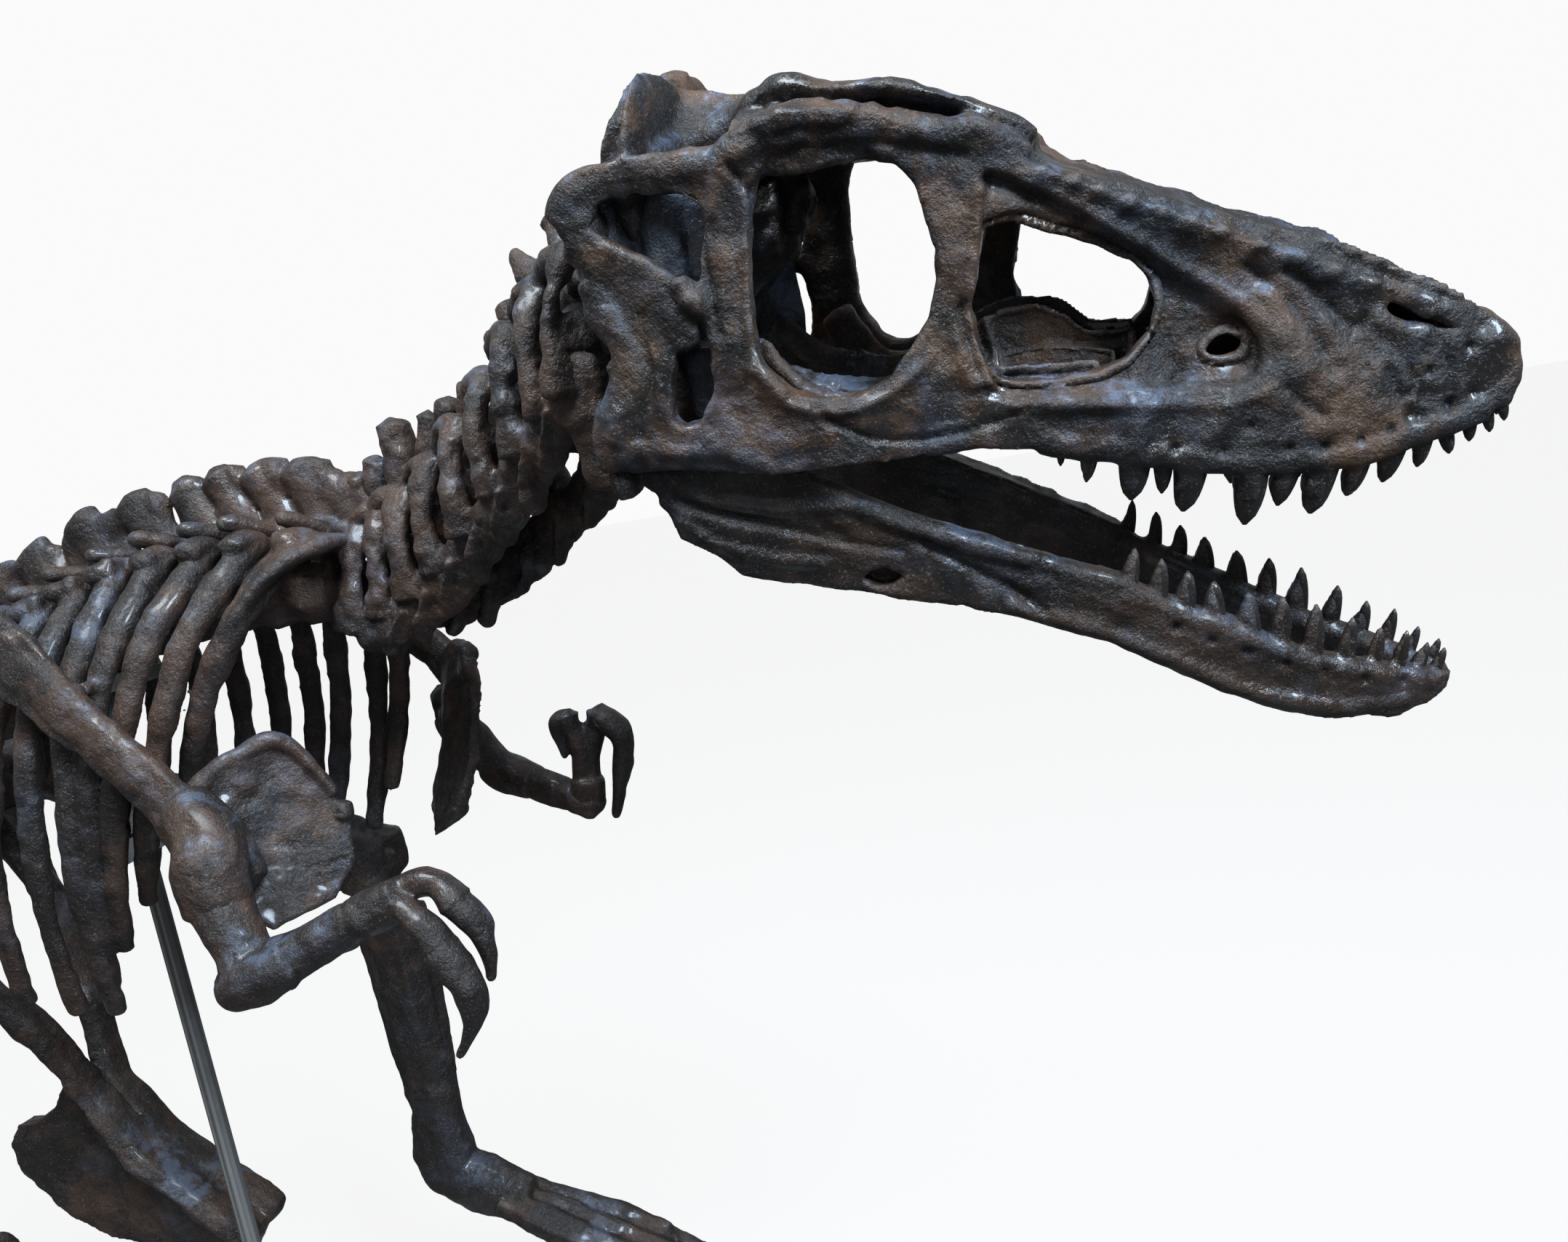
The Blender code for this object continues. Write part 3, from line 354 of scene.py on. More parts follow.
def blend(tree, amount, under, over):
    """Mix two colours by a mask."""
    made = node(tree, "ShaderNodeMix", data_type="RGBA")
    tree.links.new(amount, made.inputs["Factor"])
    for socket, value in ((made.inputs[6], under), (made.inputs[7], over)):
        if isinstance(value, tuple):
            socket.default_value = value
        else:
            tree.links.new(value, socket)
    return made.outputs[2]


print("node helpers:", [f.__name__ for f in (node, noise, window, maths, blend)])


# %% [markdown]
# Each layer of the finish has a grain of its own. The numbers are scale, detail, roughness and distortion of
# a noise: a big scale gives small marks. Layers are mixed over the ground in this order: the bone's own
# brown, painted shade laid into concave places, lighter wear on edges, the painted bluish sheen, rust and
# dust.

# %% Patina node group
GRAIN = {"wide": (4.5, 4, .6, .4), "patches": (17, 5, .65, .3), "clouds": (34, 5, .7), "grit": (420, 3, .6),
         "specks": (300, 2, .5), "crumbs": (135, 4, .65, .5), "painted_sheen": (8, 4, .65, .6), "rust": (75, 3),
         "pools": (11, 3, .6, .5)}
# The first colour is painted shade, laid into concave places; the second is wear on the edges.
HOLLOW_SHADE, WORN = (.006, .005, .005, 1), (.13, .105, .09, 1)
RUST, DUST = (.3, .11, .03, 1), (.26, .23, .2, 1)


def make_patina():
    """Build the shared node group."""
    group = bpy.data.node_groups.new("patina", "ShaderNodeTree")
    for name, kind in (("Ground", "NodeSocketColor"), ("Brown", "NodeSocketColor"),
                       ("Painted Sheen", "NodeSocketColor"), ("Brown Amount", "NodeSocketFloat"),
                       ("Painted Sheen Amount", "NodeSocketFloat"), ("Gloss", "NodeSocketFloat")):
        group.interface.new_socket(name, in_out="INPUT", socket_type=kind)
    for name, kind in (("Color", "NodeSocketColor"), ("Roughness", "NodeSocketFloat"),
                       ("Height", "NodeSocketFloat"), ("Coat", "NodeSocketFloat")):
        group.interface.new_socket(name, in_out="OUTPUT", socket_type=kind)

    def times(a, b):
        return maths(group, "MULTIPLY", a, b)

    given = node(group, "NodeGroupInput").outputs
    place = node(group, "ShaderNodeTexCoord").outputs["Object"]
    surface = node(group, "ShaderNodeNewGeometry")
    split = node(group, "ShaderNodeSeparateXYZ")
    group.links.new(surface.outputs["Normal"], split.inputs[0])
    grain = {name: noise(group, place, *values) for name, values in GRAIN.items()}
    both = maths(group, "ADD", times(grain["wide"], .6), times(grain["patches"], .4))
    dry = times(window(group, both, .46, .6), given["Brown Amount"])
    colour = blend(group, dry, given["Ground"], given["Brown"])
    # Painted shade: concave places are darkened towards near black, as if shadowed.
    hollows = window(group, surface.outputs["Pointiness"], .5, .44)
    colour = blend(group, times(hollows, .75), colour, HOLLOW_SHADE)
    edges = window(group, surface.outputs["Pointiness"], .515, .6)
    colour = blend(group, times(edges, .5), colour, WORN)
    # Painted sheen: a bluish colour that stands for the reflection of the cool lights, strongest on what
    # faces up.
    up = window(group, split.outputs["Z"], -.1, .8)
    painted_sheen = times(window(group, grain["painted_sheen"], .5, .62), window(group, grain["clouds"], .36, .58))
    painted_sheen = times(painted_sheen, maths(group, "ADD", times(up, .8), .2))
    painted_sheen = times(painted_sheen, given["Painted Sheen Amount"])
    colour = blend(group, painted_sheen, colour, given["Painted Sheen"])
    rust = times(window(group, grain["rust"], .66, .74), .6)
    colour = blend(group, times(rust, dry), colour, RUST)
    colour = blend(group, times(window(group, grain["specks"], .6, .7), .34), colour, DUST)
    pools = times(window(group, grain["pools"], .48, .62), given["Gloss"])
    pools = maths(group, "MAXIMUM", pools, times(painted_sheen, .8))
    rough = maths(group, "SUBTRACT", maths(group, "ADD", .36, times(grain["grit"], .2)), times(pools, .22))
    calm = maths(group, "SUBTRACT", 1, times(pools, .7))
    height = times(maths(group, "ADD", times(grain["grit"], .3), grain["crumbs"]), calm)
    height = maths(group, "ADD", height, times(grain["clouds"], 1.8))
    out = node(group, "NodeGroupOutput")
    for socket, value in zip(out.inputs, (colour, rough, height, times(pools, .55))):
        group.links.new(value, socket)
    return group


PATINA = make_patina()
print("patina group nodes:", len(PATINA.nodes))


# %% [markdown]
# ## Bone materials
#
# In the photograph skull and body are the same dark bone, but the skull is browner, the folds inside it are
# glossy and shine blue, and jaw and teeth are darker. The folds get a bluish ground and a strong painted
# sheen for that shine. One function makes each material from the patina with its own ground, brown and
# painted-sheen colours and amounts, so that all of them stay related. The steel of the mount uses it too, as
# a dull grey paint with hardly any relief.


# %% Bone materials
def bone_material(name, ground, brown, painted_sheen, brown_amount, painted_sheen_amount, gloss, depth=.0028):
    """A bone finish from the shared patina."""
    material = bpy.data.materials.new(name)
    material.use_nodes = True
    tree = material.node_tree
    shader = tree.nodes["Principled BSDF"]
    patina = node(tree, "ShaderNodeGroup", node_tree=PATINA)
    for key, value in (("Ground", (*ground, 1)), ("Brown", (*brown, 1)), ("Painted Sheen", (*painted_sheen, 1)),
                       ("Brown Amount", brown_amount), ("Painted Sheen Amount", painted_sheen_amount), ("Gloss", gloss)):
        patina.inputs[key].default_value = value
    bump = node(tree, "ShaderNodeBump")
    bump.inputs["Distance"].default_value = depth
    bump.inputs["Strength"].default_value = 1.0
    tree.links.new(patina.outputs["Height"], bump.inputs["Height"])
    tree.links.new(bump.outputs["Normal"], shader.inputs["Normal"])
    tree.links.new(patina.outputs["Color"], shader.inputs["Base Color"])
    tree.links.new(patina.outputs["Roughness"], shader.inputs["Roughness"])
    tree.links.new(patina.outputs["Coat"], shader.inputs["Coat Weight"])
    shader.inputs["Coat Roughness"].default_value = .14
    return material


# The third colour and the second amount of each material set its painted bluish sheen.
SKULL_BONE = bone_material("skull_bone", (.021, .0175, .0165), (.1, .054, .031), (.11, .15, .23), .95, .8, 1)
# The folds' bluish ground and large sheen amount are painted sheen for the light inside the openings.
GLOSSY_FOLDS_PAINTED_SHEEN = bone_material("glossy_folds_painted_sheen", (.03, .036, .047), (.05, .05, .055), (.16, .23, .36), .6, 2, 1.3)
BODY_BONE = bone_material("body_bone", (.024, .0185, .0165), (.08, .047, .032), (.105, .13, .185),
                          .9, .65, .8)
JAW_BONE = bone_material("jaw_bone", (.0155, .0125, .0115), (.058, .034, .022), (.08, .11, .17), .85, .7, 1)
TOOTH = bone_material("tooth", (.009, .0075, .0075), (.026, .016, .012), (.05, .07, .11), .6, .4, 1.3, .0008)
STEEL = bone_material("rod_steel", (.36, .355, .34), (.33, .32, .3), (.42, .425, .43), .5, .3, .3, .0003)
print("materials:", [m.name for m in (SKULL_BONE, GLOSSY_FOLDS_PAINTED_SHEEN, BODY_BONE, JAW_BONE, TOOTH, STEEL)])

# %% [markdown]
# ## The skull's own frame
#
# Everything on the skull is placed in the skull's frame: x from the jaw joint to the snout, y to the
# animal's left and z up. The half widths give the place of the outer wall at any point of the side
# view. The real skull is a little skewed, so the bars on its left stand further forward.

# %% Skull frame
SKULL_AT = Vector((1.822, -.265, 1.804)) + SHIFT
SKULL_X = Vector((.993, -.058, -.102)).normalized()
SKULL_Y = Vector((.079, .975, .207))
SKULL_Y = (SKULL_Y - SKULL_X * SKULL_Y.dot(SKULL_X)).normalized()
SKULL_Z = SKULL_X.cross(SKULL_Y)
LOW_HALF = ((-.03, .1, .22, .32, .42, .52, .62, .72, .82, .9, .96, 1),
            (.175, .19, .195, .18, .155, .135, .118, .1, .082, .064, .044, .02))
TOP_HALF = ((-.03, .2, .3, .42, .52, .62, .72, .82, .9, .96, 1),
            (.165, .165, .14, .135, .1, .078, .062, .052, .042, .03, .012))
EDGE_HEIGHT = ((-.03, .1, .2, .3, .44, .52, .62, .72, .82, .9, .96, 1),
               (.29, .295, .31, .29, .27, .245, .205, .165, .125, .085, .04, -.01))
JAW_HALF = ((0, .1, .25, .4, .55, .7, .8, .9, .955), (.15, .16, .155, .14, .115, .092, .075, .045, .018))


def in_skull(x, y, z):
    """A point of the skull's frame, in the world."""
    return SKULL_AT + SKULL_X * x + SKULL_Y * y + SKULL_Z * z


def half_at(x, z):
    """Half width of the skull at a point of its side view."""
    u = min(max((z + .04) / (float(np.interp(x, *EDGE_HEIGHT)) + .04), 0), 1)
    u = u * u * (3 - 2 * u)
    return float(np.interp(x, *LOW_HALF)) * (1 - u) + float(np.interp(x, *TOP_HALF)) * u


def left_shift(x):
    """How far forward the left wall's bars stand."""
    return .045 * np.exp(-((x - .19) / .1) ** 2) + .026 * np.exp(-((x - .43) / .07) ** 2)


def side_view(co, normal):
    """Side view of points on either outer wall, and how squarely each faces outwards."""
    away = co - np.array(SKULL_AT)
    x, y, z = (away @ np.array(axis) for axis in (SKULL_X, SKULL_Y, SKULL_Z))
    x = x - np.where(y > 0, left_shift(x - left_shift(x)), 0)
    out = np.clip((normal @ np.array(SKULL_Y)) * np.sign(y) * 1.6 - .15, 0, 1)
    return np.stack([x, z], axis=1), y, out


print("skull half width at the orbit:", round(half_at(.3, .2), 3), "m")

# %% [markdown]
# ## Skull
#
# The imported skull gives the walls, roof, crest and openings. Rounded bars are pressed on in clay, such
# as the temporal arch, the bar behind the orbit and the brow. Inside are braincase, folds and palate.


# %% Bars on the skull's walls
def bar(line, wide, thick, sink):
    """The same rounded bar on both outer walls, along points (x, z)."""
    made = []
    for hand in (-1, 1):
        points = [in_skull(x + (left_shift(x) if hand > 0 else 0), hand * (half_at(x, z) - sink), z)
                  for x, z in line]
        made.append(loft(points, wide, thick, 12, SKULL_Y))
    return made


def inner(points, wide, thick=None, up=SKULL_Y, shifted=False):
    """The same rounded strut inside both sides of the skull, along points (x, y, z)."""
    return [loft([in_skull(x + (left_shift(x) if shifted and hand > 0 else 0), hand * y, z)
                  for x, y, z in points], wide, thick, 10, up) for hand in (-1, 1)]


# Points (x, z), half width, half thickness, and how deep the bar's middle lies under the wall
SKULL_BARS = {
    "temporal arch": (
        ((-.002, .265), (.018, .293), (.06, .303), (.12, .302), (.17, .3), (.215, .298)),
        (.022, .024, .02, .019, .022, .028), .016, .013),
    "bar behind the orbit": (
        ((.2, .31), (.187, .25), (.182, .18), (.179, .12), (.179, .07), (.19, .01)),
        (.034, .028, .026, .027, .03, .036), (.018, .018, .018, .018, .016, .01), .015),
    "prong into the temporal opening": (
        ((.004, .245), (.04, .215), (.08, .19), (.11, .16), (.12, .12)),
        (.022, .026, .03, .03, .02), (.012, .013, .014, .014, .01), .009),
    "prong's knob": (((.125, .188), (.14, .17), (.148, .155)), (.014, .016, .008), (.014, .022, .014), .002),
    "front edge of the cheek": (
        ((.09, .17), (.08, .12), (.066, .08), (.055, .04), (.05, .0)), .024, .014, .01),
    "back edge of the cheek": (
        ((.028, .17), (.022, .115), (.014, .06), (.018, .03), (.03, .0)),
        (.02, .022, .028, .034, .034), (.016, .02, .026, .03, .024), .01),
    "cheek bone": (
        ((.03, .006), (.1, .004), (.2, .002), (.28, .012), (.36, .022), (.44, .018)),
        (.024, .026, .026, .022, .022, .024), .012, .012),
    "lower rim of the orbit": (
        ((.193, .1), (.212, .062), (.25, .04), (.306, .034), (.35, .048), (.39, .085)), .016, .012, .011),
    "bar before the orbit": (
        ((.436, .262), (.427, .224), (.42, .19), (.417, .155), (.415, .12), (.418, .085), (.43, .04)),
        (.026, .018, .015, .015, .018, .024, .034), .013, .01),
    "upper rim of the snout's opening": (
        ((.44, .272), (.49, .25), (.53, .232), (.57, .212), (.62, .185), (.68, .158), (.74, .132)),
        .016, .013, .01),
    "brow": (
        ((.175, .25), (.19, .29), (.215, .316), (.255, .328), (.3, .326), (.345, .316), (.4, .303),
         (.45, .284), (.5, .256)), (.014, .018, .022, .024, .024, .022, .02, .016, .01),
        (.014, .018, .022, .024, .022, .018, .018, .014, .01), .008),
    "jaw joint": (
        ((.018, .2), (.028, .16), (.042, .12), (.046, .08), (.04, .03), (.034, -.01)),
        (.022, .036, .044, .044, .042, .038), .016, .014),
    "gum": (
        ((.5, -.025), (.6, -.048), (.66, -.064), (.74, -.076), (.82, -.078), (.9, -.062), (.96, -.048)),
        .016, .013, .01)}
SKULL_CLAY = [piece for values in SKULL_BARS.values() for piece in bar(*values)]
print("bars:", len(SKULL_CLAY))

# %% [markdown]
# The crest at the back of the real skull ends in two thick lobes, so it is one loft from side to side.
# The roof is one wide loft along the middle, with the knob over the orbit as its high point. Behind the
# orbit hangs the rough braincase.

# %% Crest, roof and braincase
SKULL_CLAY.append(loft([in_skull(*p) for p in (
    (.07, -.135, .28), (.078, -.12, .34), (.085, -.085, .37), (.085, -.03, .367), (.085, .01, .366),
    (.085, .06, .372), (.085, .1, .36), (.078, .125, .33), (.07, .14, .28))],
    (.03, .038, .04, .034, .034, .036, .036, .034, .03), (.016, .014, .014, .016, .018, .018, .018, .02, .02),
    12, SKULL_X))
SKULL_CLAY += inner([(.1, .03, .3), (.09, .085, .29), (.06, .13, .28)], .05, .02, SKULL_X)
SKULL_CLAY.append(loft([in_skull(x, 0, z) for x, z in (
    (.09, .325), (.14, .322), (.185, .33), (.235, .354), (.285, .338), (.36, .328), (.43, .304), (.5, .27))],
    (.05, .045, .055, .09, .12, .13, .12, .09), (.035, .034, .034, .026, .02, .018, .016, .014), 14))
SKULL_CLAY.append(loft([in_skull(x, 0, z) for x, z in ((.17, .3), (.162, .24), (.145, .17), (.14, .11))],
                       (.028, .032, .026, .012), (.055, .06, .05, .03), 12, SKULL_Y))
print("clay pieces with crest and roof:", len(SKULL_CLAY))

# %% [markdown]
# Through the orbit and the opening in front of it the photograph shows thin plates over the palate.
# They are struts laid along both sides, thin from side to side, and the outermost follow the skew wall.

# %% Palate
SKULL_CLAY += inner(
    [(.185, .115, .1), (.215, .12, .05), (.27, .118, .022), (.34, .118, .03), (.4, .125, .065)],
    (.02, .024, .024, .022, .016), .008, SKULL_Y, True)
for points, wide, thick in (
        (((.17, .06, .1), (.2, .08, .06), (.26, .075, .03), (.34, .07, .02), (.42, .06, .03)),
         (.014, .016, .018, .018, .018), .01),
        (((.4, .05, .055), (.45, .045, .07), (.5, .04, .08), (.545, .035, .055), (.6, .03, .045)),
         (.03, .035, .03, .024, .03), .007),
        (((.44, .1, .04), (.5, .095, .035), (.56, .08, .03)), .018, .008),
        (((.43, .055, .035), (.5, .05, .045), (.58, .045, .03)), .026, .009)):
    SKULL_CLAY += inner(points, wide, thick)
print("clay pieces in the skull:", len(SKULL_CLAY))

# %% [markdown]
# Inside the temporal openings hang smooth upright folds. They get a skin of their own, because a remesh with
# the skull would melt them into the wall. They also get a glossier material, whose bluish ground and strong
# painted sheen stand for the light they catch.

# %% Folds
FOLDS = []
for x, y, top, low, wide in (
        (.0, .125, .29, .16, .02), (.03, .135, .3, .13, .02), (.062, .12, .3, .1, .022),
        (.098, .13, .3, .1, .024), (.135, .12, .3, .03, .022), (.165, .115, .28, .02, .016)):
    FOLDS += inner([(x, y - .02, top), (x + .004, y, (top + low) / 2), (x + .008, y - .01, low)], wide, .012)
FOLDS += inner([(.13, .135, .11), (.135, .14, .05), (.14, .13, -.01)], (.03, .036, .03), .01)
print("folds:", len(FOLDS))

# %% [markdown]
# The side view carries the rest: the smooth basin in front of the big opening, its raised rim, the
# furrows that run down the snout, knobs along the nose, sutures, and a row of small pits above the
# teeth.

# %% Marks on the skull
FOSSA = [(.448, .215), (.5, .222), (.54, .203), (.585, .178), (.63, .148), (.68, .112), (.72, .076),
         (.738, .045), (.732, .015), (.7, .006), (.64, .01), (.575, .02), (.51, .022), (.455, .035),
         (.44, .09), (.44, .16)]
SKULL_MARKS = (
    (.007, .0045, [(.463, .261), (.491, .249), (.529, .226), (.568, .2), (.607, .172), (.646, .142),
                   (.693, .108), (.728, .078), (.749, .045), (.743, .008), (.7, -.008), (.643, -.004),
                   (.578, .006), (.513, .01)]),
    (.006, .006, [(.226, .295), (.213, .279), (.208, .245), (.205, .206), (.203, .165), (.201, .125),
                  (.207, .091), (.232, .062)],
     [(.199, .091), (.231, .055), (.268, .038), (.306, .036), (.345, .048), (.376, .07)],
     [(.452, .243), (.444, .206), (.439, .167), (.436, .136), (.438, .103), (.447, .073), (.453, .048)]),
    (.009, .004, [(.02, .262), (.05, .232), (.088, .214), (.12, .196)],
     [(.138, .018), (.186, -.012), (.23, -.024)], [(.01, .052), (.025, .024), (.083, .007), (.15, -.001)]),
    (.008, -.008, [(.427, .129), (.433, .096), (.441, .062)],
     [(.462, .248), (.491, .235), (.521, .216), (.552, .196)]),
    (.006, -.005, [(.717, .129), (.748, .101), (.775, .067), (.794, .033)],
     [(.756, .12), (.787, .093), (.814, .054), (.834, .012)],
     [(.802, .079), (.834, .044), (.861, .001), (.882, -.043)], [(.83, .06), (.873, .019), (.897, -.028)],
     [(.838, .067), (.826, .049), (.834, .028)], [(.905, .05), (.92, .0), (.925, -.04)]),
    (.012, .005, [(.6, -.03), (.62, .0)], [(.675, -.043), (.7, -.02)], [(.739, -.046), (.75, -.01)],
     [(.803, -.045), (.81, .0)], [(.842, -.029), (.85, .01)], [(.771, .02), (.74, .1)],
     [(.965, .025), (.984, -.011), (.976, -.037)]),
    (.01, .007, [(.515, .25)], [(.546, .241)], [(.573, .226)], [(.6, .211)], [(.631, .201)], [(.662, .183)],
     [(.693, .171)], [(.732, .154)], [(.771, .134)], [(.802, .114)], [(.837, .098)],
     [(.48, .015), (.529, .017), (.578, .008)]),
    (.0045, -.005, [(.755, .002), (.775, -.017), (.795, -.032)], [(.644, .048), (.653, .031), (.643, .016)],
     [(.264, .042), (.291, .018), (.328, 0), (.378, -.006), (.437, -.001), (.488, .014)],
     [(.452, .035), (.48, .027), (.513, .029)], [(.2, .3), (.222, .26), (.218, .22)],
     [(.15, .27), (.16, .2), (.165, .13)]),
    (.0055, -.007, [(.76, -.063)], [(.796, -.066)], [(.832, -.062)], [(.863, -.056)], [(.894, -.044)],
     [(.922, -.036)], [(.945, -.027)], [(.691, -.058)], [(.642, -.048)], [(.72, -.035)], [(.88, -.02)],
     [(.9, .0)], [(.94, .02)]))
print("lines on the skull:", sum(len(lines) for _, _, *lines in SKULL_MARKS))


# %% [markdown]
# The knobs on brow and nose and the crumbling braincase are too fine to place one by one, so each region
# gets lumps of its own size. The basin in the snout stays smooth, as on the real skull.


# %% Skin the skull
def carve_skull(co, normal):
    """Marks and basin on the outer walls, rough knobs on brow, crest and braincase."""
    flat, y, out = side_view(co, normal)
    push = out * (marks(flat, SKULL_MARKS) + basin(flat, FOSSA, .013, .016))
    x, z = flat[:, 0], flat[:, 1]
    brow = np.exp(-((x - .29) / .09) ** 2 - ((z - .33) / .035) ** 2)
    brain = np.exp(-((x - .2) / .06) ** 2 - ((z - .24) / .08) ** 2) * (np.abs(y) < .1)
    nose = np.exp(-((z - np.interp(x, *EDGE_HEIGHT)) / .03) ** 2) * (x > .5)
    push += (brow * .0045 + nose * .0012) * lumps(co, .013, 21) + brain * .007 * lumps(co, .016, 22)
    smooth = np.exp(-((x - .62) / .1) ** 2 - ((z - .09) / .06) ** 2)
    return push + (1 - smooth) * (.0024 * lumps(co, .034, 23) + .0014 * lumps(co, .015, 24))


def bend_skull(co):
    """Hollow the edge behind the jaw joint's bar and lift the upper rim of the orbit."""
    x, z = side_view(co, np.zeros_like(co))[0].T
    ahead = .042 * np.exp(-((z - .095) / .06) ** 2 - ((x - .02) / .055) ** 2)
    ahead += .026 * np.exp(-((z - .38) / .055) ** 2 - ((x - .03) / .045) ** 2)
    lift = .02 * np.exp(-((x - .35) / .075) ** 2 - ((z - .262) / .032) ** 2)
    return co + ahead[:, None] * np.array(SKULL_X) + lift[:, None] * np.array(SKULL_Z)


skull = bone_skin("skull_bone", SKULL_CLAY, ["skull"], .0041, 4, .0012,
                  ((.09, .004), (.02, .0016)), carve_skull, bend_skull)
folds = bone_skin("skull_folds", FOLDS, [], .004, 5, .001, ((.05, .004), (.02, .002)), None, bend_skull)
print("skull in place:", [round(v, 2) for v in skull.dimensions])

# %% [markdown]
# ## Lower jaw
#
# The jaw is flatter. Its back half is built of overlapping layers with long shallow steps between
# them, and its front has a row of pits and a swollen lower edge.

# %% Lower jaw
JAW_MARKS = (
    (.007, -.006, [(.073, -.06), (.137, -.084), (.202, -.101), (.273, -.124), (.336, -.139)],
     [(.364, -.132), (.406, -.164), (.457, -.199), (.491, -.232)]),
    (.009, .006, [(.068, -.024), (.093, -.052), (.138, -.07), (.203, -.08), (.259, -.08)],
     [(.079, -.086), (.123, -.119), (.178, -.137), (.243, -.149)],
     [(.27, -.076), (.322, -.099), (.374, -.123), (.425, -.142), (.477, -.164)]),
    (.016, .003, [(.38, -.157), (.449, -.184), (.519, -.21), (.597, -.248), (.667, -.285), (.728, -.316),
                  (.816, -.356), (.898, -.38)]),
    (.012, .003, [(.421, -.205), (.552, -.259), (.666, -.32), (.746, -.364), (.836, -.39)]),
    (.006, -.006, [(.64, -.267)], [(.68, -.286)], [(.719, -.305)], [(.763, -.324)], [(.807, -.339)],
     [(.852, -.354)], [(.897, -.365)], [(.25, -.105), (.27, -.112)]))


def carve_jaw(co, normal):
    """Marks on the jaw's outer faces."""
    flat, y, out = side_view(co, normal)
    return out * marks(flat, JAW_MARKS) + .002 * lumps(co, .03, 31)


def jaw_bar(line, wide, thick, sink):
    """The same rounded bar on both rami, along points (x, z)."""
    return [loft([in_skull(x, hand * (float(np.interp(x, *JAW_HALF)) - sink), z) for x, z in line],
                 wide, thick, 12, SKULL_Y) for hand in (-1, 1)]


JAW_BARS = {
    "upper edge": (
        ((.24, -.05), (.3, -.09), (.37, -.122), (.43, -.148), (.5, -.178), (.57, -.212)), .012, .014, .012),
    "gum": (
        ((.58, -.22), (.65, -.255), (.72, -.292), (.79, -.328), (.86, -.352), (.93, -.378)),
        .014, .018, .014),
    "lower edge": (
        ((.45, -.22), (.55, -.262), (.64, -.31), (.72, -.358), (.82, -.388), (.9, -.392)),
        .014, .016, .012),
    "back layer": (((.06, -.05), (.12, -.09), (.2, -.11), (.28, -.13), (.36, -.15)), .022, .012, .009),
    "thin layer": (((.26, -.15), (.31, -.162), (.37, -.175)), .026, .006, .026)}
JAW_CLAY = [piece for values in JAW_BARS.values() for piece in jaw_bar(*values)]
jaw = bone_skin("lower_jaw_bone", JAW_CLAY, ["lower_jaw"], .0036, 4, .0012, ((.07, .0035), (.02, .0015)),
                carve_jaw)
print("jaw in place:", [round(v, 2) for v in jaw.dimensions])

# %% [markdown]
# ## Teeth
#
# Each tooth is a thick cone, nearly round in section and curved back a little. Rings along a curve with
# a rounded profile make one. The teeth are pieces of their own because they are much smoother than the
# bone, and a remesh would eat their points.


# %% One tooth
def tooth(base, tip, width, number):
    """Rings of one curved tooth from inside the gum to a blunt point."""
    base, tip = Vector(base), Vector(tip)
    reach = tip - base
    back = SKULL_X * (-.12 * reach.length)
    across = SKULL_Y
    verts, faces, rings, sides = [], [], 9, 14
    for i in range(rings):
        u = i / (rings - 1)
        at = base + reach * (u * 1.25 - .25) + back * (u * u) + SKULL_X * (.12 * reach.length * u)
        size = width * .5 * (1.05 - .36 * u) * max(1 - u ** 5, .03) ** .5
        flute = 1 + .03 * math.sin(number * 2.1 + u * 5)
        along = SKULL_X.copy()
        for k in range(sides):
            a = 2 * math.pi * k / sides
            verts.append(at + along * size * flute * math.cos(a) + across * size * .82 * math.sin(a))
    for i in range(rings - 1):
        for k in range(sides):
            n = (k + 1) % sides
            faces.append((i * sides + k, i * sides + n, (i + 1) * sides + n, (i + 1) * sides + k))
    faces += [tuple(range(sides)), tuple(range((rings - 1) * sides, rings * sides))]
    return verts, faces


print("points on a tooth:", len(tooth((0, 0, 0), (0, 0, -.05), .04, 0)[0]))


# %% [markdown]
# No two teeth match, because real ones were shed and grew again at different times. So each has its own
# place, reach and width, read off the photograph, and the same row stands on both sides.


# %% Rows of teeth
def tooth_row(name, teeth):
    """One smooth piece from many teeth."""
    mesh = heaped(name, teeth)
    mesh.polygons.foreach_set("use_smooth", [True] * len(mesh.polygons))
    row = bpy.data.objects.new(name, mesh)
    bpy.context.scene.collection.objects.link(row)
    print(f"{name}: {len(teeth)} teeth")
    return row


# Gum x and height, tip x and height, width at the gum
UPPER_TEETH = (
    (.52, -.033, .519, -.06, .013), (.553, -.042, .546, -.082, .02), (.598, -.052, .594, -.108, .04),
    (.628, -.061, .627, -.104, .024), (.658, -.072, .65, -.128, .042), (.721, -.081, .716, -.151, .042),
    (.76, -.086, .751, -.133, .031), (.795, -.088, .786, -.146, .042), (.833, -.087, .824, -.13, .031),
    (.869, -.078, .861, -.119, .03), (.9, -.069, .896, -.106, .023), (.92, -.064, .928, -.095, .02),
    (.946, -.057, .949, -.085, .018), (.964, -.052, .97, -.078, .016), (.981, -.045, .986, -.069, .014))
LOWER_TEETH = (
    (.59, -.214, .597, -.17, .02), (.622, -.23, .626, -.186, .024), (.652, -.248, .655, -.204, .026),
    (.684, -.266, .684, -.22, .028), (.724, -.288, .722, -.238, .029), (.757, -.304, .76, -.248, .028),
    (.793, -.322, .797, -.26, .028), (.83, -.336, .838, -.282, .026), (.862, -.349, .87, -.3, .023),
    (.89, -.357, .9, -.308, .021), (.915, -.365, .925, -.328, .018), (.937, -.37, .946, -.34, .016))
upper, lower = [], []
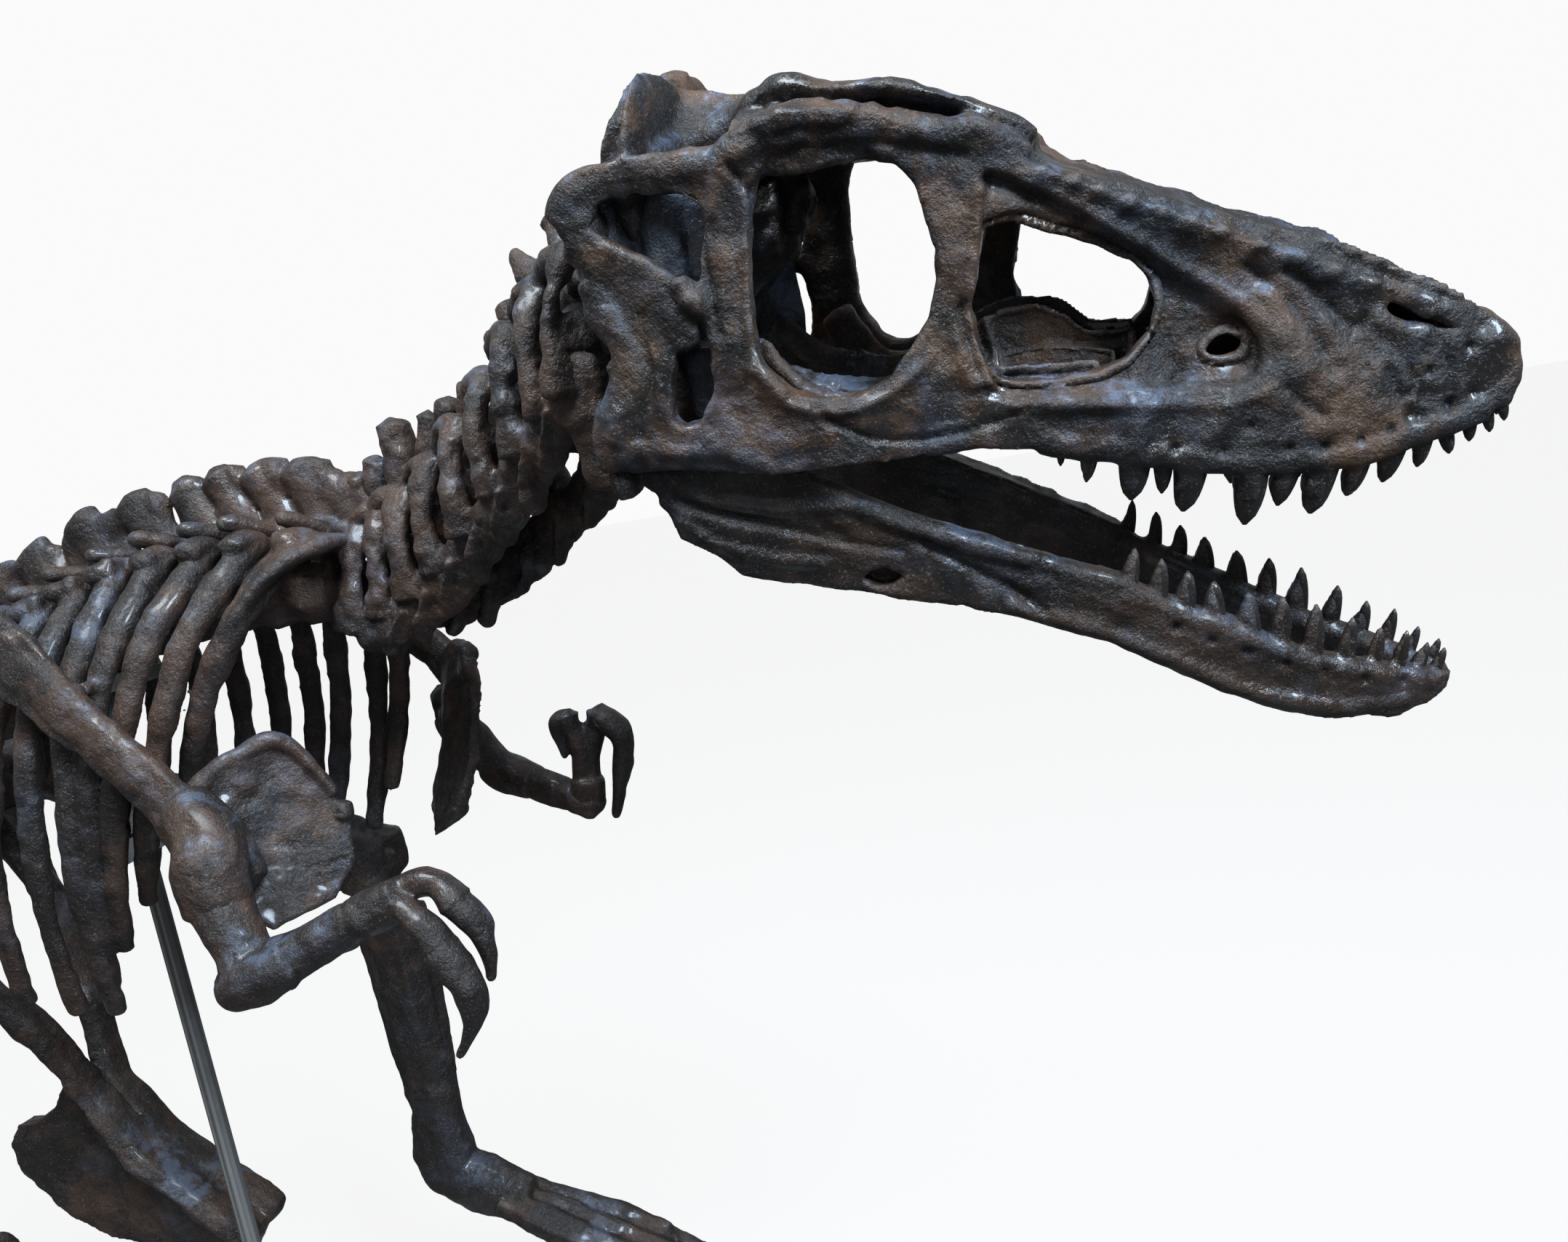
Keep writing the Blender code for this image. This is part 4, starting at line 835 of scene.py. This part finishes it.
for hand in (-1, 1):
    for number, (x, z, tip_x, tip_z, width) in enumerate(UPPER_TEETH):
        y = hand * (half_at(x, z) - .017)
        upper.append(tooth(in_skull(x, y, z), in_skull(tip_x, y * .98, tip_z), width * .97, number))
    for number, (x, z, tip_x, tip_z, width) in enumerate(LOWER_TEETH):
        y = hand * (float(np.interp(x, *JAW_HALF)) - .013)
        lower.append(tooth(in_skull(x, y, z), in_skull(tip_x, y * .96, tip_z), width * .84, number + 3))
upper_teeth = tooth_row("upper_teeth", upper)
lower_teeth = tooth_row("lower_teeth", lower)
settle(skull, SKULL_BONE, "skull_bone", "skull")
settle(folds, GLOSSY_FOLDS_PAINTED_SHEEN, "skull_bone", "skull")
settle(jaw, JAW_BONE, "skull_bone", "lower_jaw")
settle(upper_teeth, TOOTH, "skull_bone", "skull")
settle(lower_teeth, TOOTH, "skull_bone", "lower_jaw")

# %% [markdown]
# ## Neck
#
# From the side the neck reads as a row of tall knobby plates with dark slots between them. The plates
# grow together into one broad band below, and a thumb-like spine stands on top of each bone. The places
# of the slots and spines were read off the photograph.

# %% Line of the backbone
SPINE = [Vector(p) + SHIFT for p in (
    (1.795, -.283, 1.927), (1.74, -.245, 1.905), (1.65, -.18, 1.85), (1.54, -.11, 1.785),
    (1.42, -.05, 1.72), (1.3, -.015, 1.668), (1.17, 0, 1.638), (1.05, 0, 1.652),
    (.8, 0, 1.645), (.5, 0, 1.57), (.25, 0, 1.5), (0, 0, 1.455), (-.3, 0, 1.42))]
LINE = rounded(SPINE, 12)


def spine_frame(x):
    """Centre, forward, left and up of the backbone where it passes x of the part's own frame."""
    x = min(x + SHIFT.x, LINE[0].x - 1e-4)
    for a, b in zip(LINE, LINE[1:]):
        if b.x <= x <= a.x:
            ahead = (a - b).normalized()
            left = Vector((0, 0, 1)).cross(ahead).normalized()
            return a.lerp(b, (a.x - x) / (a.x - b.x)), ahead, left, ahead.cross(left)
    raise ValueError(x)


def across_spine(x, *steps):
    """Points given as (ahead, left, up) steps from the backbone at x."""
    p, ahead, left, up = spine_frame(x)
    return [p + ahead * a + left * b + up * c for a, b, c in steps]


print("neck starts at", [round(v, 2) for v in spine_frame(1.78)[0]])


# %% [markdown]
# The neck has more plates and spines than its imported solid, so it is modelled anew along the same line.
# Each plate leans back and down from its joint, which gives the photograph's dark slanting slots.

# %% Neck plates and spines
# Where each plate crosses the backbone, and how fat it is
NECK_PLATES = ((1.79, .8), (1.738, .85), (1.672, 1.1), (1.592, 1.05), (1.505, 1.2), (1.415, 1.1),
               (1.337, 1.25), (1.272, 1.2), (1.21, 1.3))
# Where each spine stands, its height over the backbone, its half width and how far its foot is back
NECK_SPINES = ((1.77, .2, .02, -.02), (1.665, .19, .021, .01), (1.625, .182, .02, .03),
               (1.54, .168, .022, .05), (1.49, .184, .021, .065), (1.445, .198, .022, .07),
               (1.38, .235, .028, .075), (1.31, .2, .024, .06), (1.26, .19, .024, .03))
neck = []
for i, (x, fat) in enumerate(NECK_PLATES):
    for hand in (-1, 1):
        out = hand * (1 if i < 7 else .92)
        neck.append(loft(across_spine(
            x, (.044, out * .05, .09), (.034, out * .074, .064), (.016, out * .09, .024),
            (0, out * .094, -.02), (-.018, out * .09, -.062)), (.016, .016, .014, .016, .018),
            [fat * w for w in (.023, .021, .015, .018, .028)], 12, (1, 0, 0)))
        neck.append(loft(across_spine(x, (.052, out * .046, .088), (.012, out * .058, .1),
                                      (-.03, out * .05, .096)), (.012, .016, .013), .014))
        neck.append(loft(across_spine(x, (.012, out * .03, 0), (.006, out * .088, 0)), .013, .03))
for x, tall, size, lean in NECK_SPINES:
    neck.append(loft(across_spine(x, (-lean, 0, .07), (-lean * .6, 0, .12), (0, 0, tall - size)),
                     (size * 1.15, size * .95, size), (size * 1.2, size * .9, size * .9), 12, (0, 1, 0)))
neck.append(loft(across_spine(1.715, (.036, 0, .07), (.022, 0, .12), (0, 0, .17), (-.016, 0, .215)),
                 (.038, .034, .024, .008), (.028, .024, .016, .006), 12, (0, 1, 0)))
print("plates and spines:", len(neck), "clay pieces")

# %% [markdown]
# Below the plates a broad band with short neck ribs runs along each side. A core along the backbone and
# a short stem at the back of the skull hold it all together, so that no plate floats.

# %% Band, core and throat
for hand in (-1, 1):
    band = [across_spine(x, (0, hand * (.076 + .004 * (i % 2)), -.076 - .006 * (i % 2)))[0]
            for i, x in enumerate((1.76, 1.7, 1.63, 1.56, 1.48, 1.4, 1.33, 1.26, 1.2))]
    neck.append(loft(band, (.03, .036, .04, .038, .042, .042, .042, .036, .026), .018, 12, (0, 1, 0)))
    for i, x in enumerate((1.745, 1.68, 1.6, 1.52, 1.44, 1.36, 1.3)):
        neck.append(loft(across_spine(x, (.0, hand * .078, -.07), (-.04, hand * .08, -.096),
                                      (-.08, hand * .074, -.115 - .01 * (i % 2))), (.028, .026, .014), .01))
for hand in (-1, 1):
    neck.append(loft(across_spine(1.79, (0, hand * .07, -.03), (-.012, hand * .07, -.08),
                                  (-.03, hand * .06, -.13), (-.05, hand * .045, -.18)), .014,
                     (.028, .034, .034, .028), 12, (1, 0, 0)))
ridge = [across_spine(x, (0, 0, .055))[0] for x in np.arange(1.77, 1.19, -.045)]
neck.append(loft(ridge, .03, .045))
for x, low in ((1.77, -.13), (1.71, -.12)):
    neck.append(loft(across_spine(x, (0, .03, -.05), (-.03, .035, low + .03), (-.05, .035, low - .03)),
                     (.034, .032, .02), .01, 10, (0, 1, 0)))
neck.append(loft([spine_frame(x)[0] for x in np.arange(1.775, 1.165, -.03)], .042))
neck.append(loft([in_skull(-.02, 0, .136), in_skull(-.05, 0, .128), in_skull(-.08, 0, .115)],
                 (.03, .038, .04)))
neck_bone = bone_skin("neck_bone", neck, [], .0036, 3, .001, ((.045, .005), (.022, .004), (.011, .0015)))
settle(neck_bone, BODY_BONE, "bone", "neck")
print("neck in place:", [round(v, 2) for v in neck_bone.dimensions])

# %% [markdown]
# ## Body bones
#
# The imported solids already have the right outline, so each of these starts from its solid's own
# surface. Only what the photograph shows more of is pressed on. On the back that is a row of blocky
# spines that nearly touch, and knobs where the ribs begin.

# %% Clay for the back
CHEST, LOINS, BACK_BONES = 1.17, .2, 12
STEP = (CHEST - LOINS) / BACK_BONES
# Where each spine stands, the height of its top and its half width
BACK_SPINES = ((1.231, 1.826, .034), (1.175, 1.84, .036), (1.087, 1.873, .04), (1.027, 1.879, .034),
               (.958, 1.884, .036), (.892, 1.875, .038), (.803, 1.872, .045), (.709, 1.861, .048),
               (.595, 1.823, .052), (.497, 1.789, .048), (.42, 1.762, .042), (.34, 1.74, .042),
               (.26, 1.72, .042))
back = []
for x, top, half in BACK_SPINES:
    tall = top + SHIFT.z - spine_frame(x)[0].z
    back.append(loft(across_spine(x, (.05, 0, .08), (.022, 0, .14), (-.008, 0, tall - .02)),
                     (half * .9, half * .85, half * .95), (.03, .024, .026), 12, (0, 1, 0)))
for i in range(BACK_BONES):
    x = CHEST - STEP * (i + .5)
    for hand in (-1, 1):
        back.append(loft(across_spine(x, (.012, hand * .02, .09), (.0, hand * .06, .112),
                                      (-.02, hand * .095, .128), (-.03, hand * .112, .132)),
                         (.026, .02, .018, .014), (.02, .016, .014, .012), 10, (0, 0, 1)))
print("clay pieces on the back:", len(back))

# %% [markdown]
# A rib leaves the backbone in two heads, bows outwards and sweeps back as it drops. Three tables say how
# far each one goes out, down and back, and a smooth curve does the rest. Ribs are thickest near the top.

# %% Clay for the ribs
ROOT_OUT, ROOT_UP = .063, .078
RIB_OUT = (.22, .25, .265, .27, .275, .27, .26, .245, .225, .2, .17)
RIB_DROP = {"ribs_right": (.36, .53, .6, .66, .7, .68, .64, .58, .5, .38, .24),
            "ribs_left": (.48, .57, .6, .64, .66, .66, .64, .58, .5, .38, .24)}
RIB_BACK = {"ribs_right": (.24, .26, .24, .2, .12, .12, .15, .18, .17, .12, .06),
            "ribs_left": (.12, .11, .14, .12, .13, .14, .15, .18, .17, .12, .06)}
RIBS = {}
for name, hand in (("ribs_right", -1), ("ribs_left", 1)):
    clay = []
    for i, out in enumerate(RIB_OUT):
        x = CHEST - STEP * (i + .5)
        start = across_spine(x, (0, 0, 0))[0]
        way = Vector((-RIB_BACK[name][i], 0, -RIB_DROP[name][i]))
        root = start + Vector((0, hand * ROOT_OUT, ROOT_UP))
        wide = out - ROOT_OUT
        steps = ((.02 / wide, -.02 / way.length), (.5, .06), (.88, .24), (1, .52), (.93, .8), (.78, 1))
        curve = [root + Vector((0, hand * wide * u, 0)) + way * v for u, v in steps]
        big = .02 if i < 8 else .015
        clay.append(loft(curve, [big * k for k in (.9, 1.1, 1.1, 1, .95, .85)],
                         [big * k for k in (.9, .85, .8, .75, .7, .65)], 10, (0, hand, 0), 5))
        clay.append(loft(across_spine(x, (0, hand * .06, .075), (-.002, hand * .1, .1),
                                      (-.006, hand * .14, .092)), (.022, .026, .022), .016))
    if hand < 0:
        clay.append(loft(across_spine(1.13, (.045, -.05, .085), (.03, -.11, .09), (-.005, -.165, .06),
                                      (-.05, -.195, -.01), (-.09, -.2, -.09)),
                         (.03, .04, .036, .026, .018), (.014, .016, .014, .014, .012), 12))
    RIBS[name] = clay
print("rib clay pieces:", {k: len(v) for k, v in RIBS.items()})


# %% [markdown]
# The shoulder blade of the real animal runs down to a thick joint, and in front of it stands a thin
# plate with a raised rim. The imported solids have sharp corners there, so rounded clay goes over them.


# %% Clay for the shoulders
def place(*points):
    """Points of the part's own frame, in the world."""
    return [Vector(p) + SHIFT for p in points]


LIMB_CLAY = {
    "shoulder_right": [
        loft(place((.7, -.275, 1.645), (.82, -.302, 1.55), (.93, -.312, 1.43), (.99, -.305, 1.34)),
             (.05, .036, .03, .04), (.014, .016, .018, .024), 12, (0, 1, 0)),
        loft(place((.985, -.29, 1.38), (1.01, -.25, 1.415), (1.04, -.215, 1.43)), (.02, .014, .01)),
        loft(place((.99, -.305, 1.385), (1.03, -.322, 1.335), (1.045, -.346, 1.29), (1.048, -.352, 1.23)),
             (.034, .048, .054, .05), (.036, .052, .056, .048), 14, (1, 0, 0)),
        loft(place((1.0, -.3, 1.36), (1.04, -.29, 1.31), (1.065, -.3, 1.25)), (.03, .036, .03), .026),
        loft(place((1.03, -.22, 1.425), (1.07, -.183, 1.436), (1.1, -.163, 1.4), (1.13, -.148, 1.33)),
             (.012, .014, .012, .01), (.016, .022, .02, .014), 12, (.74, -.63, .2)),
        loft(place((1.14, -.145, 1.31), (1.142, -.15, 1.29)), .014)],
    "shoulder_left": [
        loft(place((1.2, .1, 1.21), (1.15, .12, 1.185), (1.11, .18, 1.2)), .018, .014, 12),
        loft(place((1.14, .295, 1.42), (1.19, .24, 1.47), (1.23, .2, 1.47)), (.02, .022, .016)),
        loft(place((1.12, .3, 1.36), (1.11, .31, 1.3)), .04, .03)]}
print("shoulder clay pieces:", {k: len(v) for k, v in LIMB_CLAY.items()})

# %% [markdown]
# The photograph shows the arms as short thick bones whose ends swell and meet at elbow and wrist. A
# loft over each joint hides the seam between two nodes.

# %% Clay for the arms
ARMS = {"right": ((1.045, -.352, 1.262), (1.11, -.39, 1.137), (1.285, -.36, 1.2)),
        "left": ((1.09, .345, 1.3), (1.155, .375, 1.195), (1.315, .34, 1.13))}
for side, points in ARMS.items():
    top, elbow, wrist = place(*points)
    reach = (wrist - elbow).normalized()
    LIMB_CLAY["upper_arm_" + side] = [
        loft([top + Vector((-.02, 0, .04)), top, top.lerp(elbow, .3), top.lerp(elbow, .7), elbow],
             (.034, .044, .044, .04, .044), (.034, .042, .036, .034, .038), 12),
        loft([elbow - reach * .045, elbow, elbow + reach * .07], (.03, .048, .042), (.03, .042, .034), 12)]
    LIMB_CLAY["forearm_" + side] = [
        loft([elbow + reach * .04, elbow.lerp(wrist, .45), wrist - reach * .02], (.034, .03, .03),
             (.042, .034, .032), 12),
        loft([wrist - reach * .03, wrist, wrist + reach * .04], (.024, .034, .028), (.026, .032, .026), 12)]
print("arms reach", {side: round((Vector(p[2]) - Vector(p[0])).length, 2) for side, p in ARMS.items()})

# %% [markdown]
# Each hand has two fingers that end in big curved claws. A claw is a loft that narrows to a point, and
# its line is a hook read off the photograph. The hands are all clay, because their solids are plainer.

# %% Clay for the hands
# Four points along a claw, and its half width at the root
CLAWS = {
    "hand_right": (
        ((1.4, -.37, 1.145), (1.43, -.37, 1.085), (1.422, -.37, 1.03), (1.39, -.37, .985), .03),
        ((1.41, -.33, 1.205), (1.442, -.33, 1.165), (1.45, -.33, 1.12), (1.444, -.33, 1.08), .025)),
    "hand_left": (
        ((1.338, .334, 1.3), (1.312, .331, 1.296), (1.306, .33, 1.26), (1.308, .33, 1.22), .026),
        ((1.378, .352, 1.296), (1.426, .351, 1.25), (1.412, .35, 1.17), (1.38, .35, 1.085), .034))}
FINGERS = {
    "hand_right": (((1.32, -.36, 1.21), (1.345, -.36, 1.214), (1.38, -.37, 1.185), (1.402, -.37, 1.14)),
                   ((1.32, -.35, 1.215), (1.345, -.337, 1.23), (1.39, -.33, 1.23), (1.416, -.33, 1.2))),
    "hand_left": (((1.335, .34, 1.16), (1.34, .335, 1.22), (1.335, .333, 1.27), (1.33, .334, 1.305)),
                  ((1.34, .34, 1.16), (1.35, .345, 1.21), (1.37, .35, 1.26), (1.385, .352, 1.3)))}
for name in CLAWS:
    LIMB_CLAY[name] = [loft(place(*line), (size * .8, size * .72, size * .5, .006),
                            (size, size * .9, size * .6, .007), 14, (0, 1, 0), 6)
                       for *line, size in CLAWS[name]]
    LIMB_CLAY[name] += [loft(place(*line), (.026, .02, .02, .024), (.026, .02, .022, .028), 12, (0, 1, 0))
                        for line in FINGERS[name]]
PALMS = {"hand_right": ((1.262, -.362, 1.192), (1.3, -.357, 1.205), (1.345, -.35, 1.222)),
         "hand_left": ((1.3, .343, 1.136), (1.33, .338, 1.13), (1.34, .337, 1.17))}
for name, line in PALMS.items():
    LIMB_CLAY[name].append(loft(place(*line), (.028, .036, .032), (.026, .03, .032), 12, (0, 1, 0)))
print("hand clay pieces:", {name: len(LIMB_CLAY[name]) for name in CLAWS})

# %% [markdown]
# Knee and ankle carried the animal's whole weight, so they are thicker than the shafts of the bones. Two
# round knuckles make the knee, and the shank narrows between them and the ankle.

# %% Clay for the legs
LEGS = {"left": ((.8, .37, 1.03), (.825, .37, .3), (1.25, .4, .075)),
        "right": ((.32, -.34, .6), (-.36, -.33, .42), (-.22, -.34, .0))}
for side, points in LEGS.items():
    knee, ankle, ball = place(*points)
    down, onward = (ankle - knee).normalized(), (ball - ankle).normalized()
    LIMB_CLAY["thigh_" + side] = [
        loft([knee - down * .05 + Vector((0, y, 0)), knee + down * .03 + Vector((0, y, 0))],
             (.05, .052), (.062, .058), 14, (0, 1, 0)) for y in (-.035, .035)]
    LIMB_CLAY["shank_" + side] = [
        loft([knee + down * .06, knee + down * .11, knee + down * .2, knee.lerp(ankle, .5),
              knee.lerp(ankle, .85), ankle], (.066, .072, .054, .042, .05, .06),
             (.064, .066, .046, .038, .046, .054), 16, (0, 1, 0)),
        loft([ankle - onward * .04, ankle + onward * .06, ankle + onward * .12], (.056, .07, .06),
             (.05, .058, .05), 16, (0, 1, 0))]
print("limb nodes with clay:", len(LIMB_CLAY))

# %% [markdown]
# Now every bone of the body gets its skin. Small bones near the camera have fine voxels, and the big
# bones of legs, hips and tail have coarser ones and larger swellings.

# %% Skin the body bones
# Voxel size of each node
BODY_NODES = {
    "back": .005, "ribs_right": .0045, "ribs_left": .0045, "hips": .006, "pubis": .005,
    "ischium": .006, "tail_base": .006, "tail_middle": .006, "tail_end": .005,
    "shoulder_right": .0036, "upper_arm_right": .0036, "forearm_right": .0036, "hand_right": .003,
    "shoulder_left": .0045, "upper_arm_left": .0045, "forearm_left": .0045, "hand_left": .0035,
    "thigh_left": .006, "shank_left": .005, "foot_left": .005,
    "thigh_right": .006, "shank_right": .006, "foot_right": .006}
EXTRA = {"back": back, **RIBS, **LIMB_CLAY}
for name, voxel in BODY_NODES.items():
    big = name.startswith(("thigh", "shank", "foot", "hips", "tail", "pubis"))
    rough = ((.11, .006), (.035, .003), (.014, .0012)) if big else ((.055, .004), (.022, .0024))
    solid = [] if name in CLAWS else [name]
    piece = bone_skin(name + "_bone", EXTRA.get(name, []), solid, voxel, 5, .001, rough)
    settle(piece, BODY_BONE, "bone", name)
print("body bones:", len(BODY_NODES))

# %% [markdown]
# ## Mount
#
# The real mount is plain steel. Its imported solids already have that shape, so they are shown as they
# are and only painted.

# %% Paint the mount
for name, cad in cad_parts.items():
    if name.startswith("stand_"):
        cad.data.materials.clear()
        cad.data.materials.append(STEEL)
        cad.data.polygons.foreach_set("use_smooth", [False] * len(cad.data.polygons))
        print("painted", name)

# %% [markdown]
# ## Floor and light
#
# The photograph has a nearly white ground with no visible edge. A large pale sheet stands for it. It
# glows only as the camera sees it, so that it looks white but hardly lights the bones from below.

# %% Floor
HALF_FLOOR, UNDER = 40, -.0005
floor_mesh = bpy.data.meshes.new("floor")
corners = [(HALF_FLOOR * a, HALF_FLOOR * b, UNDER) for a, b in ((-1, -1), (1, -1), (1, 1), (-1, 1))]
floor_mesh.from_pydata(corners, [], [(0, 1, 2, 3)])
floor = bpy.data.objects.new("floor", floor_mesh)
bpy.context.scene.collection.objects.link(floor)
paper = bpy.data.materials.new("floor_paper")
paper.use_nodes = True
tree = paper.node_tree
sheet = tree.nodes["Principled BSDF"]
sheet.inputs["Base Color"].default_value = (.1, .1, .1, 1)
sheet.inputs["Roughness"].default_value = .9
sheet.inputs["Specular IOR Level"].default_value = 0
sheet.inputs["Emission Color"].default_value = (1, 1, 1, 1)
tree.links.new(maths(tree, "MULTIPLY", node(tree, "ShaderNodeLightPath").outputs["Is Camera Ray"], .88),
               sheet.inputs["Emission Strength"])
floor_mesh.materials.append(paper)
print("floor spans", floor.dimensions[0], "m")

# %% [markdown]
# The room is a plain backdrop, bright to the camera and dimmer to the bones, so that shadows between
# the bones stay deep. Its light is slightly cool.

# %% Room
world = bpy.data.worlds.new("studio")
bpy.context.scene.world = world
world.use_nodes = True
tree = world.node_tree
seen = node(tree, "ShaderNodeLightPath").outputs["Is Camera Ray"]
sky = tree.nodes["Background"]
tree.links.new(maths(tree, "ADD", maths(tree, "MULTIPLY", seen, .67), .29), sky.inputs["Strength"])
tree.links.new(blend(tree, seen, (.88, .94, 1, 1), (1, 1, 1, 1)), sky.inputs["Color"])
bpy.context.scene.view_settings.view_transform = "Standard"
print("view transform:", bpy.context.scene.view_settings.view_transform)

# %% [markdown]
# Two soft lights make the glints. One hangs over the chest, and the other is like a small high window in
# front of the snout. Both are a little blue, which brightens the painted bluish sheen on what faces up.


# %% Lights
def soft_light(name, spot, target, size, power, colour):
    """A square area light aimed at a point."""
    data = bpy.data.lights.new(name, "AREA")
    data.size = size
    data.energy = power
    data.color = colour
    light = bpy.data.objects.new(name, data)
    bpy.context.scene.collection.objects.link(light)
    light.location = spot
    light.rotation_euler = (Vector(target) - Vector(spot)).to_track_quat("-Z", "Y").to_euler()
    return light


soft_light("overhead", (1.4, -1.8, 5.0), (1.4, 0, 1.5), 1.8, 190, (.82, .91, 1))
soft_light("window", (4.8, -2.4, 3.9), (2.2, -.2, 1.9), 1.1, 190, (.68, .83, 1))
